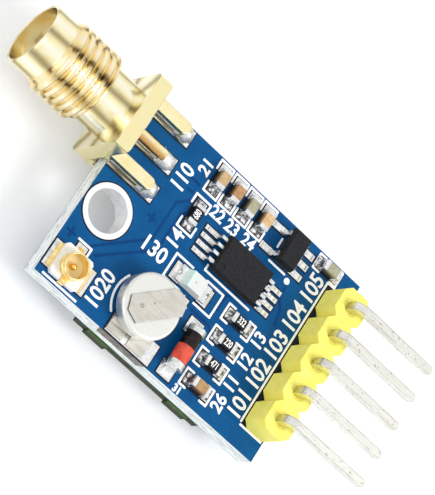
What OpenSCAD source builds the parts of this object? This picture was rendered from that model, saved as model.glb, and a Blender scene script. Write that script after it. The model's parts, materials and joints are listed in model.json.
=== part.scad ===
// Satellite positioning module: a small circuit board that carries a threaded coax
// jack on its edge, a miniature coax socket, a backup cell with welded tabs, chip
// parts, a five-way pin header with bent pins and, on its underside, a shielded
// receiver. X runs along the board from the jack to the header. The module rests
// on the receiver's shield, and the origin is under the middle of its box.

/* [Board] */
// Length of the board, from the jack's edge to the header's edge
board_l = 22; // [21:0.5:30]
// Width of the board
board_w = 16; // [15.6:0.2:24]
// Thickness of the board
board_t = 1.6; // [0.8:0.1:2.4]
// Thickness of a tinned pad
pad_t = 0.06; // [0.03:0.01:0.1]
// How far a pad shows around a lead or a leg
pad_margin = 0.22; // [0.1:0.02:0.3]

/* [Mounting hole] */
// Clear diameter of the plated hole
hole_d = 3.2; // [2.2:0.1:3.4]
// Outer diameter of the plated ring around it
hole_ring_d = 4; // [3.8:0.1:4.3]
// Wall of the plated barrel
plating_t = 0.025; // [0.02:0.005:0.1]
// Margin between the ring and the jack's edge of the board
hole_edge = 0.1; // [0.02:0.01:0.5]
// Share of the free width between the micro socket and the jack that is left before the ring
hole_share = 0.66; // [0.05:0.01:0.95]

/* [Antenna jack] */
// Distance of the jack's axis from the far long edge
jack_inset = 3.35; // [3.2:0.05:4]
// Width and height of the square flange
flange_w = 6.2; // [6.05:0.05:6.5]
// Thickness of the flange
flange_t = 1.25; // [0.8:0.05:2]
// Corner radius of the flange
flange_r = 0.4; // [0.1:0.05:0.8]
// Gap between the flange and the board, filled by the insulator's collar
flange_gap = 0.45; // [0.2:0.05:0.8]
// Diameter of the smooth neck behind the thread
neck_d = 4.7; // [4.5:0.05:5.2]
// Length of the neck
neck_l = 2.3; // [1.5:0.05:4]
// Outer diameter of the thread
thread_d = 6.1; // [5.9:0.05:6.35]
// Root diameter of the thread
thread_root_d = 5.25; // [5.1:0.05:5.6]
// Pitch of the thread
thread_pitch = 0.7; // [0.5:0.05:0.8]
// Number of thread ridges
thread_turns = 6; // [4:1:9]
// Diameter of the smooth nose in front of the thread
nose_d = 5.1; // [5:0.05:5.3]
// Length of the nose
nose_l = 1.8; // [1:0.05:3]
// Bevel of the nose's rim
rim_bevel = 0.08; // [0.03:0.01:0.12]
// Diameter of the socket in the nose
socket_d = 4.65; // [4.4:0.05:4.75]
// Depth of the socket
socket_depth = 1.95; // [1.5:0.05:3]
// Diameter of the insulator
insulator_d = 4.1; // [3.6:0.05:4.3]
// Outer diameter of the slotted contact
contact_d = 1.27; // [1.1:0.01:1.5]
// Bore of the slotted contact
contact_bore_d = 0.94; // [0.9:0.01:1]
// Width of the slots in the contact
contact_slot = 0.2; // [0.1:0.02:0.3]
// Diameter of the contact's tail, which lies on the board
tail_d = 0.9; // [0.7:0.05:1]
// How far the tail reaches over the board
tail_reach = 3.15; // [2.5:0.05:3.6]
// Width of a leg
leg_w = 0.95; // [0.8:0.05:1.1]
// Height of a leg
leg_h = 0.95; // [0.7:0.05:1.1]
// Distance between the two legs of a pair
leg_spacing = 5.08; // [4.6:0.02:5.2]
// How far a leg reaches over the board
leg_reach = 3.55; // [2.5:0.05:3.6]
// Clearance between a leg and its pad
leg_fit = 0.04; // [0.02:0.01:0.1]

/* [Micro socket] */
// Margin between the socket's outer pad and the jack's edge of the board
micro_edge = 0.11; // [0.05:0.01:0.4]
// Margin between the socket and the near long edge
micro_near = 0.32; // [0.2:0.01:0.6]
// Side of the moulded base
micro_base = 2.6; // [2.4:0.05:2.7]
// Height of the moulded base
micro_base_h = 0.4; // [0.3:0.02:0.6]
// Outer diameter of the shell's ring
micro_ring_d = 2; // [1.8:0.05:2.2]
// Wall of the ring
micro_ring_t = 0.14; // [0.1:0.01:0.2]
// Height of the ring's rim over the pads
micro_h = 1.2; // [1:0.05:1.5]
// Diameter of the centre pin
micro_pin_d = 0.5; // [0.4:0.02:0.6]
// Height of the centre pin over the pads
micro_pin_h = 0.85; // [0.7:0.05:1]
// Thickness of the stamped strips
micro_strip_t = 0.12; // [0.08:0.01:0.16]
// How far the strips stand out of the base
micro_foot = 0.35; // [0.2:0.05:0.4]

/* [Backup cell] */
// Offset of the cell from the board's middle, along the board
cell_off = -2.76; // [-3:0.02:-2.4]
// Distance of the cell's middle from the near long edge
cell_y = 3.14; // [3:0.02:3.3]
// Diameter of the cell
cell_d = 4.8; // [4.4:0.1:5.2]
// Height of the cell
cell_h = 1.25; // [1:0.05:2]
// Height of the cell over its pads
cell_lift = 0.3; // [0.26:0.02:0.5]
// Thickness of the welded tabs
tab_t = 0.12; // [0.08:0.01:0.15]
// Width of the tab on top of the cell
top_tab_w = 2; // [1.6:0.1:2.4]
// Width of that tab's foot
top_foot_w = 1; // [0.8:0.1:1.4]
// Width of the tab under the cell
bottom_tab_w = 3.5; // [3:0.1:3.8]
// Gap between the lower tab's two feet
tab_slot = 0.45; // [0.3:0.05:0.8]

/* [Diode] */
// Offset of the diode from the board's middle, along the board
diode_off = 1.48; // [1.3:0.02:1.7]
// Distance of the diode's middle from the near long edge
diode_y = 2.8; // [2.7:0.05:3]
// Length of the diode
diode_l = 3.5; // [3.3:0.05:3.7]
// Diameter of its end caps
diode_d = 1.4; // [1.2:0.05:1.6]
// Length of an end cap
diode_cap_l = 0.5; // [0.3:0.05:0.7]
// Waist of the glass below the caps' radius
diode_step = 0.06; // [0.02:0.01:0.12]

/* [Lamp] */
// Offset of the lamp from the board's middle, along the board
led_off = -0.5; // [-0.6:0.05:-0.2]
// Share of the free width between the cell's foot and the regulator that is left before the lamp
led_share = 0.24; // [0.05:0.01:0.4]
// Length of the lamp
led_l = 2.9; // [2.7:0.05:3.4]
// Width of the lamp
led_w = 1.3; // [1.1:0.05:1.7]
// Thickness of the lamp's base
led_base_h = 0.35; // [0.25:0.05:0.5]
// Height of the lens over the base
led_lens_h = 0.5; // [0.4:0.05:0.8]
// Length of the lens at its foot
led_lens_l = 1.8; // [1.5:0.05:2.2]
// Draft of the lens at each end
led_draft = 0.25; // [0.1:0.05:0.4]
// Length of a terminal
led_end_l = 0.5; // [0.3:0.05:0.55]

/* [Chips] */
// Offset of the memory chip from the board's middle, along the board
memory_off = 1.93; // [1.8:0.01:2.1]
// Share of the same free width that is left before the memory chip
memory_share = 0.63; // [0.45:0.01:0.8]
// Offset of the regulator from the board's middle, along the board
regulator_off = 4.42; // [4.2:0.02:4.6]
// Distance of the regulator from the far long edge
regulator_inset = 1.95; // [1.8:0.01:2.1]
// Thickness of a chip's leads
lead_t = 0.15; // [0.1:0.01:0.2]
// Gap between a chip and the board
chip_standoff = 0.12; // [0.1:0.01:0.2]
// Length of a lead's foot
lead_foot = 0.55; // [0.4:0.05:0.7]

/* [Chip resistors] */
// Offset of the resistor row from the board's middle, along the board
resistor_off = 4.22; // [4.1:0.02:4.4]
// Distance of the first resistor from the near long edge
resistor_y = 3.45; // [3.4:0.02:3.6]
// Pitch of the resistor row
resistor_pitch = 1.93; // [1.6:0.01:1.95]
// Offset of the lone resistor from the board's middle, along the board
lone_resistor_off = -3.25; // [-3.5:0.05:-3]
// Distance of the lone resistor from the capacitor row
lone_resistor_gap = 3.35; // [3:0.05:3.45]
// Height of a resistor
resistor_h = 0.45; // [0.35:0.05:0.6]

/* [Chip capacitors] */
// Offset of the first capacitor in the row from the board's middle, along the board
capacitor_off = -3.12; // [-3.3:0.02:-3]
// Pitch of the capacitor row
capacitor_pitch = 1.54; // [1.4:0.01:1.58]
// Distance of the row from the far long edge
capacitor_inset = 1.55; // [1.4:0.05:1.8]
// Height of a capacitor
capacitor_h = 0.8; // [0.6:0.05:1]
// Offset of the near capacitor from the board's middle, along the board
near_capacitor_off = 4.17; // [4:0.01:4.4]
// Distance of the near capacitor from the near long edge
near_capacitor_y = 1.5; // [1.3:0.05:1.7]
// Offset of the far capacitor from the board's middle, along the board
far_capacitor_off = 8.05; // [7.8:0.05:8.2]
// Distance of the far capacitor from the far long edge
far_capacitor_inset = 0.85; // [0.7:0.05:0.95]

/* [Chip part sizes] */
// Length of a resistor or capacitor
chip_l = 1.6; // [1.4:0.05:1.8]
// Width of a resistor or capacitor
chip_w = 0.8; // [0.6:0.05:0.9]
// Length of a plated end
chip_end = 0.32; // [0.2:0.02:0.45]
// How far the plated ends stand proud of the body
chip_skin = 0.02; // [0.01:0.01:0.04]
// How far a pad reaches past a chip part
chip_pad = 0.42; // [0.3:0.02:0.5]
// Edge bevel of chip parts
chip_bevel = 0.05; // [0.02:0.01:0.1]

/* [Header] */
// Pitch of the pins
header_pitch = 2.54; // [2:0.01:2.6]
// Width of the block
header_w = 2.54; // [2:0.02:3]
// Height of the block
header_h = 2.5; // [2:0.05:3]
// Bevel at the corners of each cell
header_bevel = 0.5; // [0.2:0.05:0.7]
// How far the block stands out over the board's edge
header_overhang = 0.3; // [0:0.05:0.5]
// Distance of the block's end from the far long edge
header_inset = 1.65; // [1.4:0.05:1.7]
// Side of a square pin
pin_w = 0.64; // [0.5:0.02:0.7]
// Gap between the block and a pin's level run
pin_rise = 0.72; // [0.5:0.02:2]
// Reach of a pin from its upright to its tip
pin_reach = 7.7; // [5:0.1:12]
// Length of a pin below the board
pin_tail = 1.4; // [1:0.05:1.8]
// Inner radius of a pin's bend
pin_bend = 0.3; // [0.2:0.02:0.4]
// Taper at the ends of a pin
pin_taper = 0.3; // [0.1:0.05:0.6]
// Diameter of the holes that the pins pass through
pin_hole_d = 1; // [1:0.02:1.2]
// Diameter of the rings around those holes
pin_ring_d = 1.7; // [1.5:0.05:1.8]
// Diameter of the funnel around a pin on top of the block
funnel_d = 1.4; // [1.1:0.05:1.6]
// Depth of that funnel
funnel_depth = 0.3; // [0.1:0.05:0.5]

/* [Receiver] */
// Share of the free length between the jack's and the header's pads that is left before the receiver
receiver_share = 0.25; // [0.05:0.01:0.95]
// Size of the receiver along the board
receiver_l = 12.2; // [11.6:0.1:12.6]
// Margin between the receiver and each long edge of the board
receiver_margin = 0; // [0:0.05:0.7]
// Thickness of the receiver's carrier
receiver_t = 0.8; // [0.6:0.05:1.2]
// Height of the shield
shield_h = 1.6; // [1.4:0.05:2.4]
// Margin of the carrier around the shield
shield_margin = 0.9; // [0.7:0.05:1.2]
// Wall of the shield
shield_t = 0.2; // [0.1:0.02:0.3]
// Corner radius of the shield
shield_r = 0.6; // [0.3:0.05:1]
// Pitch of the receiver's edge contacts
contact_pitch = 1.1; // [1:0.05:1.15]
// Diameter of the half-round edge contacts
contact_notch_d = 0.6; // [0.4:0.05:0.7]
// How far the break-off stubs stand out
stub_reach = 0.2; // [0.1:0.05:0.4]
// Width of a break-off stub
stub_w = 2; // [1.5:0.1:2.6]
// Distance between the two stubs
stub_spacing = 8.1; // [6:0.1:8.6]

/* [Hidden] */
$fn = 48;
// Pieces that cut right through another overlap it by this much
cut = 0.1;

// A place along the board from its offset
function along(offset) = board_l / 2 + offset;

// Jack: axis height, stations along the axis from the flange's front face
jack_y = board_w - jack_inset;
jack_z = pad_t + tail_d / 2;
thread_l = thread_turns * thread_pitch;
jack_l = neck_l + thread_l + nose_l;
socket_floor = jack_l - socket_depth;
jack_reach = jack_l + flange_t + flange_gap;
contact_recess = 0.1;
contact_shoulder = neck_l / 2;
contact_bore_l = 2.6;
contact_slot_l = 1.8;
thread_crest = thread_pitch / 7;
thread_gap = thread_pitch / 6;
leg_under = pad_t + leg_fit;
flange_up = flange_w / 2;
flange_down = max(flange_w / 2, jack_z + board_t + leg_under + leg_h);

// Solder on the jack: how far the pads and the fillets reach past the legs and the tail
leg_pad_tip = 0.85;
tail_pad_tip = 1.25;
tip_fillet = 0.7;
leg_fillet_h = 0.52;
tail_fillet_h = 0.36;
tail_tip_h = 0.72;

// Micro socket: strips, pads and place
micro_leg_w = 0.5;
micro_side_w = 1.9;
micro_tail_w = 0.45;
micro_pad_out = 0.65;
micro_groove = 0.06;
micro_bevel = 0.2;
micro_gap = 0.1;
micro_x = micro_edge + micro_pad_out + micro_base / 2;
micro_y = micro_near + micro_strip_t + micro_base / 2;

// Mounting hole: place in the free width between the micro socket's pads and the jack's
hole_x = hole_edge + hole_ring_d / 2;
hole_low = micro_y + micro_base / 2 + micro_pad_out;
hole_high = jack_y - leg_spacing / 2 - leg_w / 2 - pad_margin;
hole_y = hole_low + hole_ring_d / 2 + hole_share * (hole_high - hole_low - hole_ring_d);

// Cell: levels over the board and the lower tab's bend
cell_x = along(cell_off);
cell_z = pad_t + cell_lift;
cell_top = cell_z + cell_h;
cell_round = 0.22;
cell_foot_in = 0.5;
cell_foot_r = cell_d / 2 - cell_foot_in;
cell_foot_h = 0.12;
tab_angle = 45;
top_tab_in = 0.35;
top_tab_nose = cell_d / 2 - top_tab_in;
top_tab_point = 0.45;
top_tab_gap = 0.15;
top_tab_drop = cell_d / 2 + top_tab_gap;
top_tab_foot = 0.65;
top_tab_end = 0.35;
bottom_tab_shift = 0.3;
tab_edge = 0.22;
tab_step_in = 0.55;
tab_step_y = cell_y - cell_d / 2 + tab_step_in;
tab_step_l = 0.35;
cell_pad_w = 4.3;
cell_pad_l = 1.75;
cell_pad_shift = 0.7;
top_pad = 1.6;

// Diode: height of its axis and length of its pads
diode_x = along(diode_off);
diode_z = pad_t + diode_d / 2;
diode_pad_out = 0.75;
diode_pad_w = 1.3;

// Memory chip: body, lead span and pattern
memory_x = along(memory_off);
memory_l = 4.4;
memory_w = 3;
memory_h = 0.9;
memory_span = 6.4;
memory_leads = 4;
memory_pitch = 0.65;
memory_lead_w = 0.26;
memory_pad_out = 0.75;
memory_fillet = 0.52;

// Regulator: body, lead span and pattern
regulator_x = along(regulator_off);
regulator_y = board_w - regulator_inset;
regulator_l = 1.6;
regulator_w = 2.9;
regulator_h = 1.1;
regulator_span = 2.8;
regulator_pitch = 0.95;
regulator_lead_w = 0.4;
regulator_pad_out = 0.75;
regulator_fillet = 0.6;
chip_draft = 0.12;
dimple_d = 0.45;
dimple_depth = 0.05;
dimple_in = dimple_d + chip_draft;
lead_pad_skirt = 0.06;

// Lamp and memory chip: places in the free width between the cell's foot and the regulator
led_x = along(led_off);
foot_top = cell_y + (top_tab_drop + top_tab_foot) * sin(tab_angle) + top_foot_w / 2 * cos(tab_angle);
middle_spare = regulator_y - regulator_w / 2 - foot_top - led_w - memory_w;
led_y = foot_top + led_share * middle_spare + led_w / 2;
memory_y = foot_top + led_w + memory_share * middle_spare + memory_w / 2;

// Header: places of the pins
header_ways = 5;
pin_x = board_l + header_overhang - header_w / 2;
function pin_y(k) = board_w - header_inset - (header_ways + 0.5 - k) * header_pitch;
pin_tip_x = pin_x + pin_reach;
pin_tip_w = 0.3;
pin_level = pad_t + header_h + pin_rise + pin_w / 2;
bare_tail = 0.2;
joint_h = pin_tail - pin_taper - bare_tail;
joint_gap = 0.05;

// Chip parts: every place is [x, y, turn]
row_y = board_w - capacitor_inset;
function resistor_at(k) = k < 4
    ? [along(resistor_off), resistor_y + (k - 1) * resistor_pitch, 0]
    : [along(lone_resistor_off), row_y - lone_resistor_gap, 90];
function capacitor_at(k) = k < 5
    ? [along(capacitor_off) + (k - 1) * capacitor_pitch, row_y, 90]
    : k == 5
        ? [along(far_capacitor_off), board_w - far_capacitor_inset, 0]
        : [along(near_capacitor_off), near_capacitor_y, 0];
resistors = 4;
capacitors = 6;
pad_skirt = 0.05;
bare_pad = 0.06;
chip_fillet = chip_pad - bare_pad;
diode_fillet = diode_pad_out - bare_pad * 2;
resistor_wet = 0.8;
capacitor_wet = 0.7;

// Receiver: place between the jack's pads and the header's rings, levels below the board's top face
receiver_top = -board_t - pad_t;
receiver_floor = receiver_top - receiver_t;
shield_floor = receiver_floor - shield_h;
receiver_contacts = 12;
receiver_w = board_w - 2 * receiver_margin;
receiver_y = board_w / 2;
edge_pad_in = 0.8;
edge_pad_out = 0.4;
receiver_from = leg_reach + leg_pad_tip;
receiver_to = pin_x - pin_ring_d / 2;
receiver_spare = receiver_to - receiver_from - receiver_l - 2 * edge_pad_out;
receiver_x = receiver_from + receiver_share * receiver_spare + edge_pad_out + receiver_l / 2;
edge_pad_w = 0.7;
edge_solder = 0.15;

// Parts under the shield: [x, y] from the receiver's middle, and [length, width, height]
receiver_chip_at = [-1.2, -1.5];
receiver_chip_size = [5, 5, 0.55];
crystal_at = [2.8, -1.8];
crystal_size = [2, 2.5, 0.7];
filter_at = [1.4, 4.2];
filter_size = [1.4, 1.1, 0.5];

// The module's box: its middle is over the origin and its lowest face at zero
middle_x = (pin_tip_x - jack_reach) / 2;
middle_y = (board_w + min(0, receiver_margin - stub_reach)) / 2;
stand = -shield_floor;

// Points of an arc about [x, y]
function arc(x, y, r, from, to, steps = 8) =
    [for (i = [0:steps]) let (a = from + (to - from) * i / steps) [x + r * cos(a), y + r * sin(a)]];

// Section of a solder fillet: a hollow curve between an upright wall and a pad
function fillet(foot, height, steps = 6) =
    concat([[0, 0]], [for (i = [0:steps]) let (a = 90 * i / steps)
        [foot * (1 - sin(a)), height * (1 - cos(a))]]);

// Rectangle with bevelled corners, about its middle
module bevelled(l, w, bevel) {
    polygon([
        [-l / 2 + bevel, -w / 2], [l / 2 - bevel, -w / 2], [l / 2, -w / 2 + bevel],
        [l / 2, w / 2 - bevel], [l / 2 - bevel, w / 2], [-l / 2 + bevel, w / 2],
        [-l / 2, w / 2 - bevel], [-l / 2, -w / 2 + bevel]
    ]);
}

// Rectangle with round corners, about its middle
module rounded(l, w, r) {
    square([l - 2 * r, w], center = true);
    square([l, w - 2 * r], center = true);
    for (sx = [-1, 1], sy = [-1, 1]) translate([sx * (l / 2 - r), sy * (w / 2 - r)]) circle(r);
}

// Profile in [x, z], drawn out along Y about the middle
module along_y(l) {
    rotate([90, 0, 0]) linear_extrude(l, center = true) children();
}

// Profile in [y, z], drawn out along X about the middle
module along_x(l) {
    rotate([90, 0, 90]) linear_extrude(l, center = true) children();
}

// Block with bevelled edges, standing on its middle
module soft_block(l, w, h, bevel) {
    intersection() {
        linear_extrude(h) bevelled(l, w, bevel);
        along_y(w) translate([0, h / 2]) bevelled(l, h, bevel);
        along_x(l) translate([0, h / 2]) bevelled(w, h, bevel);
    }
}

// Moulded chip body: both faces drafted from a parting line half way up
module moulded_body(l, w, h) {
    module section(width) polygon([
        [-width / 2 + chip_draft, 0], [width / 2 - chip_draft, 0], [width / 2, h / 2],
        [width / 2 - chip_draft, h], [-width / 2 + chip_draft, h], [-width / 2, h / 2]
    ]);
    intersection() {
        along_y(w) section(l);
        along_x(l) section(w);
    }
}

// One bent chip lead on the +X side, from the body's parting line to its foot
module gull_lead(l, h, span, width) {
    out = span / 2;
    bend = out - lead_foot;
    high = chip_standoff + h / 2;
    along_y(width) polygon([
        [l / 2 - chip_draft, high - lead_t / 2], [bend - lead_t / 2, high - lead_t / 2],
        [bend, 0], [out, 0], [out, lead_t], [bend + lead_t, lead_t],
        [bend + lead_t / 2, high + lead_t / 2], [l / 2 - chip_draft, high + lead_t / 2]
    ]);
}

// Places a chip part: at is [x, y, turn], on top of the pads
module on_pads(at) {
    translate([at[0], at[1], pad_t]) rotate(at[2]) children();
}

// The jack's axis, with +Z of the child pointing out of the jack's nose
module on_jack_axis() {
    translate([-flange_gap - flange_t, jack_y, jack_z]) rotate([0, -90, 0]) children();
}

// Repeats for the two upper legs; the child is a leg's own frame at the board's edge
module at_legs() {
    for (side = [-1, 1]) translate([0, jack_y + side * leg_spacing / 2, 0]) children();
}

// Repeats what is on the board's top face on its underside
module both_faces() {
    children();
    translate([0, 0, -board_t]) mirror([0, 0, 1]) children();
}

module circuit_board() {
    color("#1c5f9e") difference() {
        translate([0, 0, -board_t]) cube([board_l, board_w, board_t]);
        translate([hole_x, hole_y, -board_t - cut])
            cylinder(d = hole_d + 2 * plating_t, h = board_t + 2 * cut);
        for (k = [1:header_ways]) translate([pin_x, pin_y(k), -board_t - cut])
            cylinder(d = pin_hole_d, h = board_t + 2 * cut);
    }
}

module hole_plating() {
    inner = hole_d / 2;
    barrel = inner + plating_t;
    ring = hole_ring_d / 2;
    color("gainsboro") translate([hole_x, hole_y, 0]) rotate_extrude($fn = 96) polygon([
        [inner, -board_t - pad_t], [ring, -board_t - pad_t], [ring, -board_t], [barrel, -board_t],
        [barrel, 0], [ring, 0], [ring, pad_t], [inner, pad_t]
    ]);
}

// Pad under a bar of width w that lies along X from the board's edge
module bar_pad(l, w) {
    translate([0, -w / 2 - pad_margin]) square([l, w + 2 * pad_margin]);
}

// Two pads of a part of length l and width w, on X about its middle
module end_pads(l, w, inner, outer) {
    for (side = [-1, 1]) translate([side * (l + outer - inner) / 2, 0])
        square([inner + outer, w], center = true);
}

// Pads of one resistor or capacitor; at is [x, y, turn]
module chip_pads(at) {
    translate([at[0], at[1]]) rotate(at[2]) end_pads(chip_l, chip_w + 2 * pad_skirt, chip_end, chip_pad);
}

// Pads of a chip's leads on the +X side; rows holds each lead's place across the chip
module lead_pads(span, width, reach, rows) {
    w = width + 2 * lead_pad_skirt;
    for (y = rows) translate([span / 2 - lead_foot, y - w / 2]) square([lead_foot + reach, w]);
}

function memory_rows() = [for (i = [0:memory_leads - 1]) (i - (memory_leads - 1) / 2) * memory_pitch];
function regulator_rows(turn) = turn == 0
    ? [-regulator_pitch, 0, regulator_pitch]
    : [-regulator_pitch, regulator_pitch];

module pads_top() {
    color("silver") linear_extrude(pad_t) {
        at_legs() bar_pad(leg_reach + leg_pad_tip, leg_w);
        translate([0, jack_y]) bar_pad(tail_reach + tail_pad_tip, tail_d);
        translate([micro_x, micro_y]) {
            for (side = [-1, 1]) translate([side * (micro_base + micro_pad_out) / 2, 0])
                square([micro_pad_out, micro_side_w + pad_margin], center = true);
            translate([0, (micro_base + micro_pad_out) / 2])
                square([micro_tail_w + 2 * pad_margin, micro_pad_out], center = true);
        }
        translate([cell_x + cell_pad_shift - cell_pad_w / 2, tab_edge / 2])
            square([cell_pad_w, cell_pad_l]);
        translate([cell_x, cell_y]) rotate(tab_angle) translate([top_tab_drop + top_tab_foot / 2, 0])
            rotate(-tab_angle) square(top_pad, center = true);
        translate([diode_x, diode_y]) rotate(90) end_pads(diode_l, diode_pad_w, diode_cap_l, diode_pad_out);
        translate([led_x, led_y]) end_pads(led_l, led_w + 2 * pad_skirt, led_end_l, chip_pad);
        for (turn = [0, 180]) {
            translate([memory_x, memory_y]) rotate(turn)
                lead_pads(memory_span, memory_lead_w, memory_pad_out, memory_rows());
            translate([regulator_x, regulator_y]) rotate(turn)
                lead_pads(regulator_span, regulator_lead_w, regulator_pad_out, regulator_rows(turn));
        }
        for (k = [1:resistors]) chip_pads(resistor_at(k));
        for (k = [1:capacitors]) chip_pads(capacitor_at(k));
        header_rings();
    }
}

// Rings around the header's holes
module header_rings() {
    for (k = [1:header_ways]) translate([pin_x, pin_y(k)]) difference() {
        circle(d = pin_ring_d);
        circle(d = pin_hole_d);
    }
}

// Repeats for the receiver's edge contacts on both sides, +X pointing outwards
module at_edge_contacts() {
    for (i = [0:receiver_contacts - 1], turn = [0, 180])
        translate([receiver_x, receiver_y + (i - (receiver_contacts - 1) / 2) * contact_pitch])
            rotate(turn) translate([receiver_l / 2, 0]) children();
}

module pads_bottom() {
    color("silver") translate([0, 0, -board_t - pad_t]) linear_extrude(pad_t) {
        at_legs() bar_pad(leg_reach + leg_pad_tip, leg_w);
        header_rings();
        at_edge_contacts() translate([-edge_pad_in, -edge_pad_w / 2])
            square([edge_pad_in + edge_pad_out, edge_pad_w]);
    }
}

// A leg with a round tip, from the flange to its end over the board
module jack_leg(h) {
    linear_extrude(h) {
        translate([-flange_gap, -leg_w / 2]) square([flange_gap + leg_reach - leg_w / 2, leg_w]);
        translate([leg_reach - leg_w / 2, 0]) circle(d = leg_w);
    }
}

module antenna_jack_body() {
    ridges = [for (i = [0:thread_turns - 1]) let (at = neck_l + i * thread_pitch) each [
        [thread_root_d / 2, at + thread_gap / 2], [thread_d / 2, at + (thread_pitch - thread_crest) / 2],
        [thread_d / 2, at + (thread_pitch + thread_crest) / 2],
        [thread_root_d / 2, at + thread_pitch - thread_gap / 2]
    ]];
    outside = concat(
        [[neck_d / 2, 0], [neck_d / 2, neck_l]], ridges,
        [[nose_d / 2, neck_l + thread_l], [nose_d / 2, jack_l - rim_bevel],
            [nose_d / 2 - rim_bevel, jack_l]]
    );
    inside = [
        [socket_d / 2, jack_l], [socket_d / 2, socket_floor],
        [insulator_d / 2, socket_floor], [insulator_d / 2, 0]
    ];
    color("#d9b65a") {
        on_jack_axis() {
            rotate_extrude($fn = 96) polygon(concat(outside, inside));
            translate([0, 0, -flange_t]) linear_extrude(flange_t) difference() {
                translate([(flange_up - flange_down) / 2, 0])
                    rounded(flange_up + flange_down, flange_w, flange_r);
                circle(d = insulator_d, $fn = 96);
            }
        }
        both_faces() at_legs() translate([0, 0, leg_under]) jack_leg(leg_h);
    }
}

module antenna_jack_insulator() {
    rear = -flange_t - flange_gap;
    color("white") on_jack_axis() rotate_extrude($fn = 96) polygon([
        [tail_d / 2, rear], [insulator_d / 2, rear], [insulator_d / 2, socket_floor],
        [contact_d / 2, socket_floor], [contact_d / 2, contact_shoulder], [tail_d / 2, contact_shoulder]
    ]);
}

module antenna_jack_contact() {
    front = socket_floor - contact_recess;
    tip = -flange_t - flange_gap - tail_reach;
    color("#d9b65a") on_jack_axis() difference() {
        rotate_extrude() polygon([
            [0, tip], [tail_d / 2, tip], [tail_d / 2, contact_shoulder], [contact_d / 2, contact_shoulder],
            [contact_d / 2, front], [contact_bore_d / 2, front],
            [contact_bore_d / 2, front - contact_bore_l], [0, front - contact_bore_l]
        ]);
        for (turn = [45, 135]) rotate(turn) translate([0, 0, front - contact_slot_l / 2 + cut / 2])
            cube([contact_d + cut, contact_slot, contact_slot_l + cut], center = true);
    }
}

// Solder round a bar that lies along X on a pad and has a round tip
module bar_joint(reach, w, side_h, tip_h) {
    straight = reach - w / 2;
    for (side = [-1, 1]) mirrored(side) translate([straight / 2, w / 2, 0])
        along_x(straight) polygon(fillet(pad_margin, side_h));
    intersection() {
        translate([straight, 0, 0]) rotate(-90) rotate_extrude(angle = 180)
            translate([w / 2, 0]) polygon(fillet(tip_fillet, tip_h));
        translate([0, -w / 2 - pad_margin, 0]) cube([reach + 2 * tip_fillet, w + 2 * pad_margin, tip_h]);
    }
}

// Mirror across the bar for a side of -1
module mirrored(side) {
    if (side > 0) children();
    else mirror([0, 1, 0]) children();
}

module antenna_jack_joints() {
    color("silver") {
        both_faces() at_legs() translate([0, 0, pad_t])
            bar_joint(leg_reach, leg_w, leg_fillet_h, leg_h);
        translate([0, jack_y, pad_t]) difference() {
            bar_joint(tail_reach, tail_d, tail_fillet_h, tail_tip_h);
            translate([-cut, 0, tail_d / 2]) rotate([0, 90, 0]) cylinder(d = tail_d, h = tail_reach + cut);
        }
    }
}

// The shell's strips: one leg over the near side and one foot on each side
module micro_strips() {
    half = micro_base / 2;
    translate([-half - micro_foot, -micro_side_w / 2, 0])
        cube([2 * (half + micro_foot), micro_side_w, micro_strip_t]);
    translate([-micro_leg_w / 2, -half - micro_strip_t, 0])
        cube([micro_leg_w, half, micro_strip_t]);
    translate([-micro_leg_w / 2, -half - micro_strip_t, 0])
        cube([micro_leg_w, micro_strip_t, micro_base_h + micro_strip_t]);
    translate([-micro_leg_w / 2, -half - micro_strip_t, micro_base_h])
        cube([micro_leg_w, half + micro_strip_t - micro_ring_d / 2 + micro_ring_t, micro_strip_t]);
}

// The centre pin's own strip, which leaves the base on the far side
module micro_tail(clearance = 0) {
    half = micro_base / 2;
    w = micro_tail_w + 2 * clearance;
    start = micro_pin_d / 2 + clearance;
    translate([-w / 2, -start, 0]) cube([w, start + half + micro_foot, micro_strip_t + clearance]);
}

module micro_ring() {
    outer = micro_ring_d / 2;
    inner = outer - micro_ring_t;
    lip = micro_ring_t / 2;
    waist = (micro_base_h + micro_h) / 2;
    rotate_extrude() polygon(concat(
        [[inner, 0], [outer, 0], [outer, waist - micro_groove], [outer - micro_groove, waist],
            [outer, waist + micro_groove]],
        arc(outer - lip, micro_h - lip, lip, 0, 180, 8)
    ));
}

// Everything metal of the micro socket's shell
module micro_shell_metal() {
    difference() {
        union() {
            micro_ring();
            micro_strips();
        }
        translate([0, 0, -cut]) cylinder(d = micro_ring_d - 2 * micro_ring_t, h = micro_strip_t + 2 * cut);
        micro_tail(micro_gap);
    }
}

module micro_pin_metal() {
    cylinder(d = micro_pin_d, h = micro_pin_h - micro_pin_d / 2);
    translate([0, 0, micro_pin_h - micro_pin_d / 2]) sphere(d = micro_pin_d);
    micro_tail();
}

module micro_socket_base() {
    color("white") on_pads([micro_x, micro_y, 0]) difference() {
        linear_extrude(micro_base_h) bevelled(micro_base, micro_base, micro_bevel);
        micro_shell_metal();
        micro_pin_metal();
    }
}

module micro_socket_shell() {
    color("#d9b65a") on_pads([micro_x, micro_y, 0]) micro_shell_metal();
}

module micro_socket_pin() {
    color("#d9b65a") on_pads([micro_x, micro_y, 0]) micro_pin_metal();
}

module backup_cell() {
    r = cell_d / 2;
    color("#e6e2da") translate([cell_x, cell_y, cell_z]) rotate_extrude($fn = 96) polygon(concat(
        [[0, 0], [cell_foot_r, 0], [cell_foot_r, cell_foot_h]],
        arc(r - cell_round, cell_foot_h + cell_round, cell_round, -90, 0, 6),
        arc(r - cell_round, cell_h - cell_round, cell_round, 0, 90, 6),
        [[0, cell_h]]
    ));
}

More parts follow.
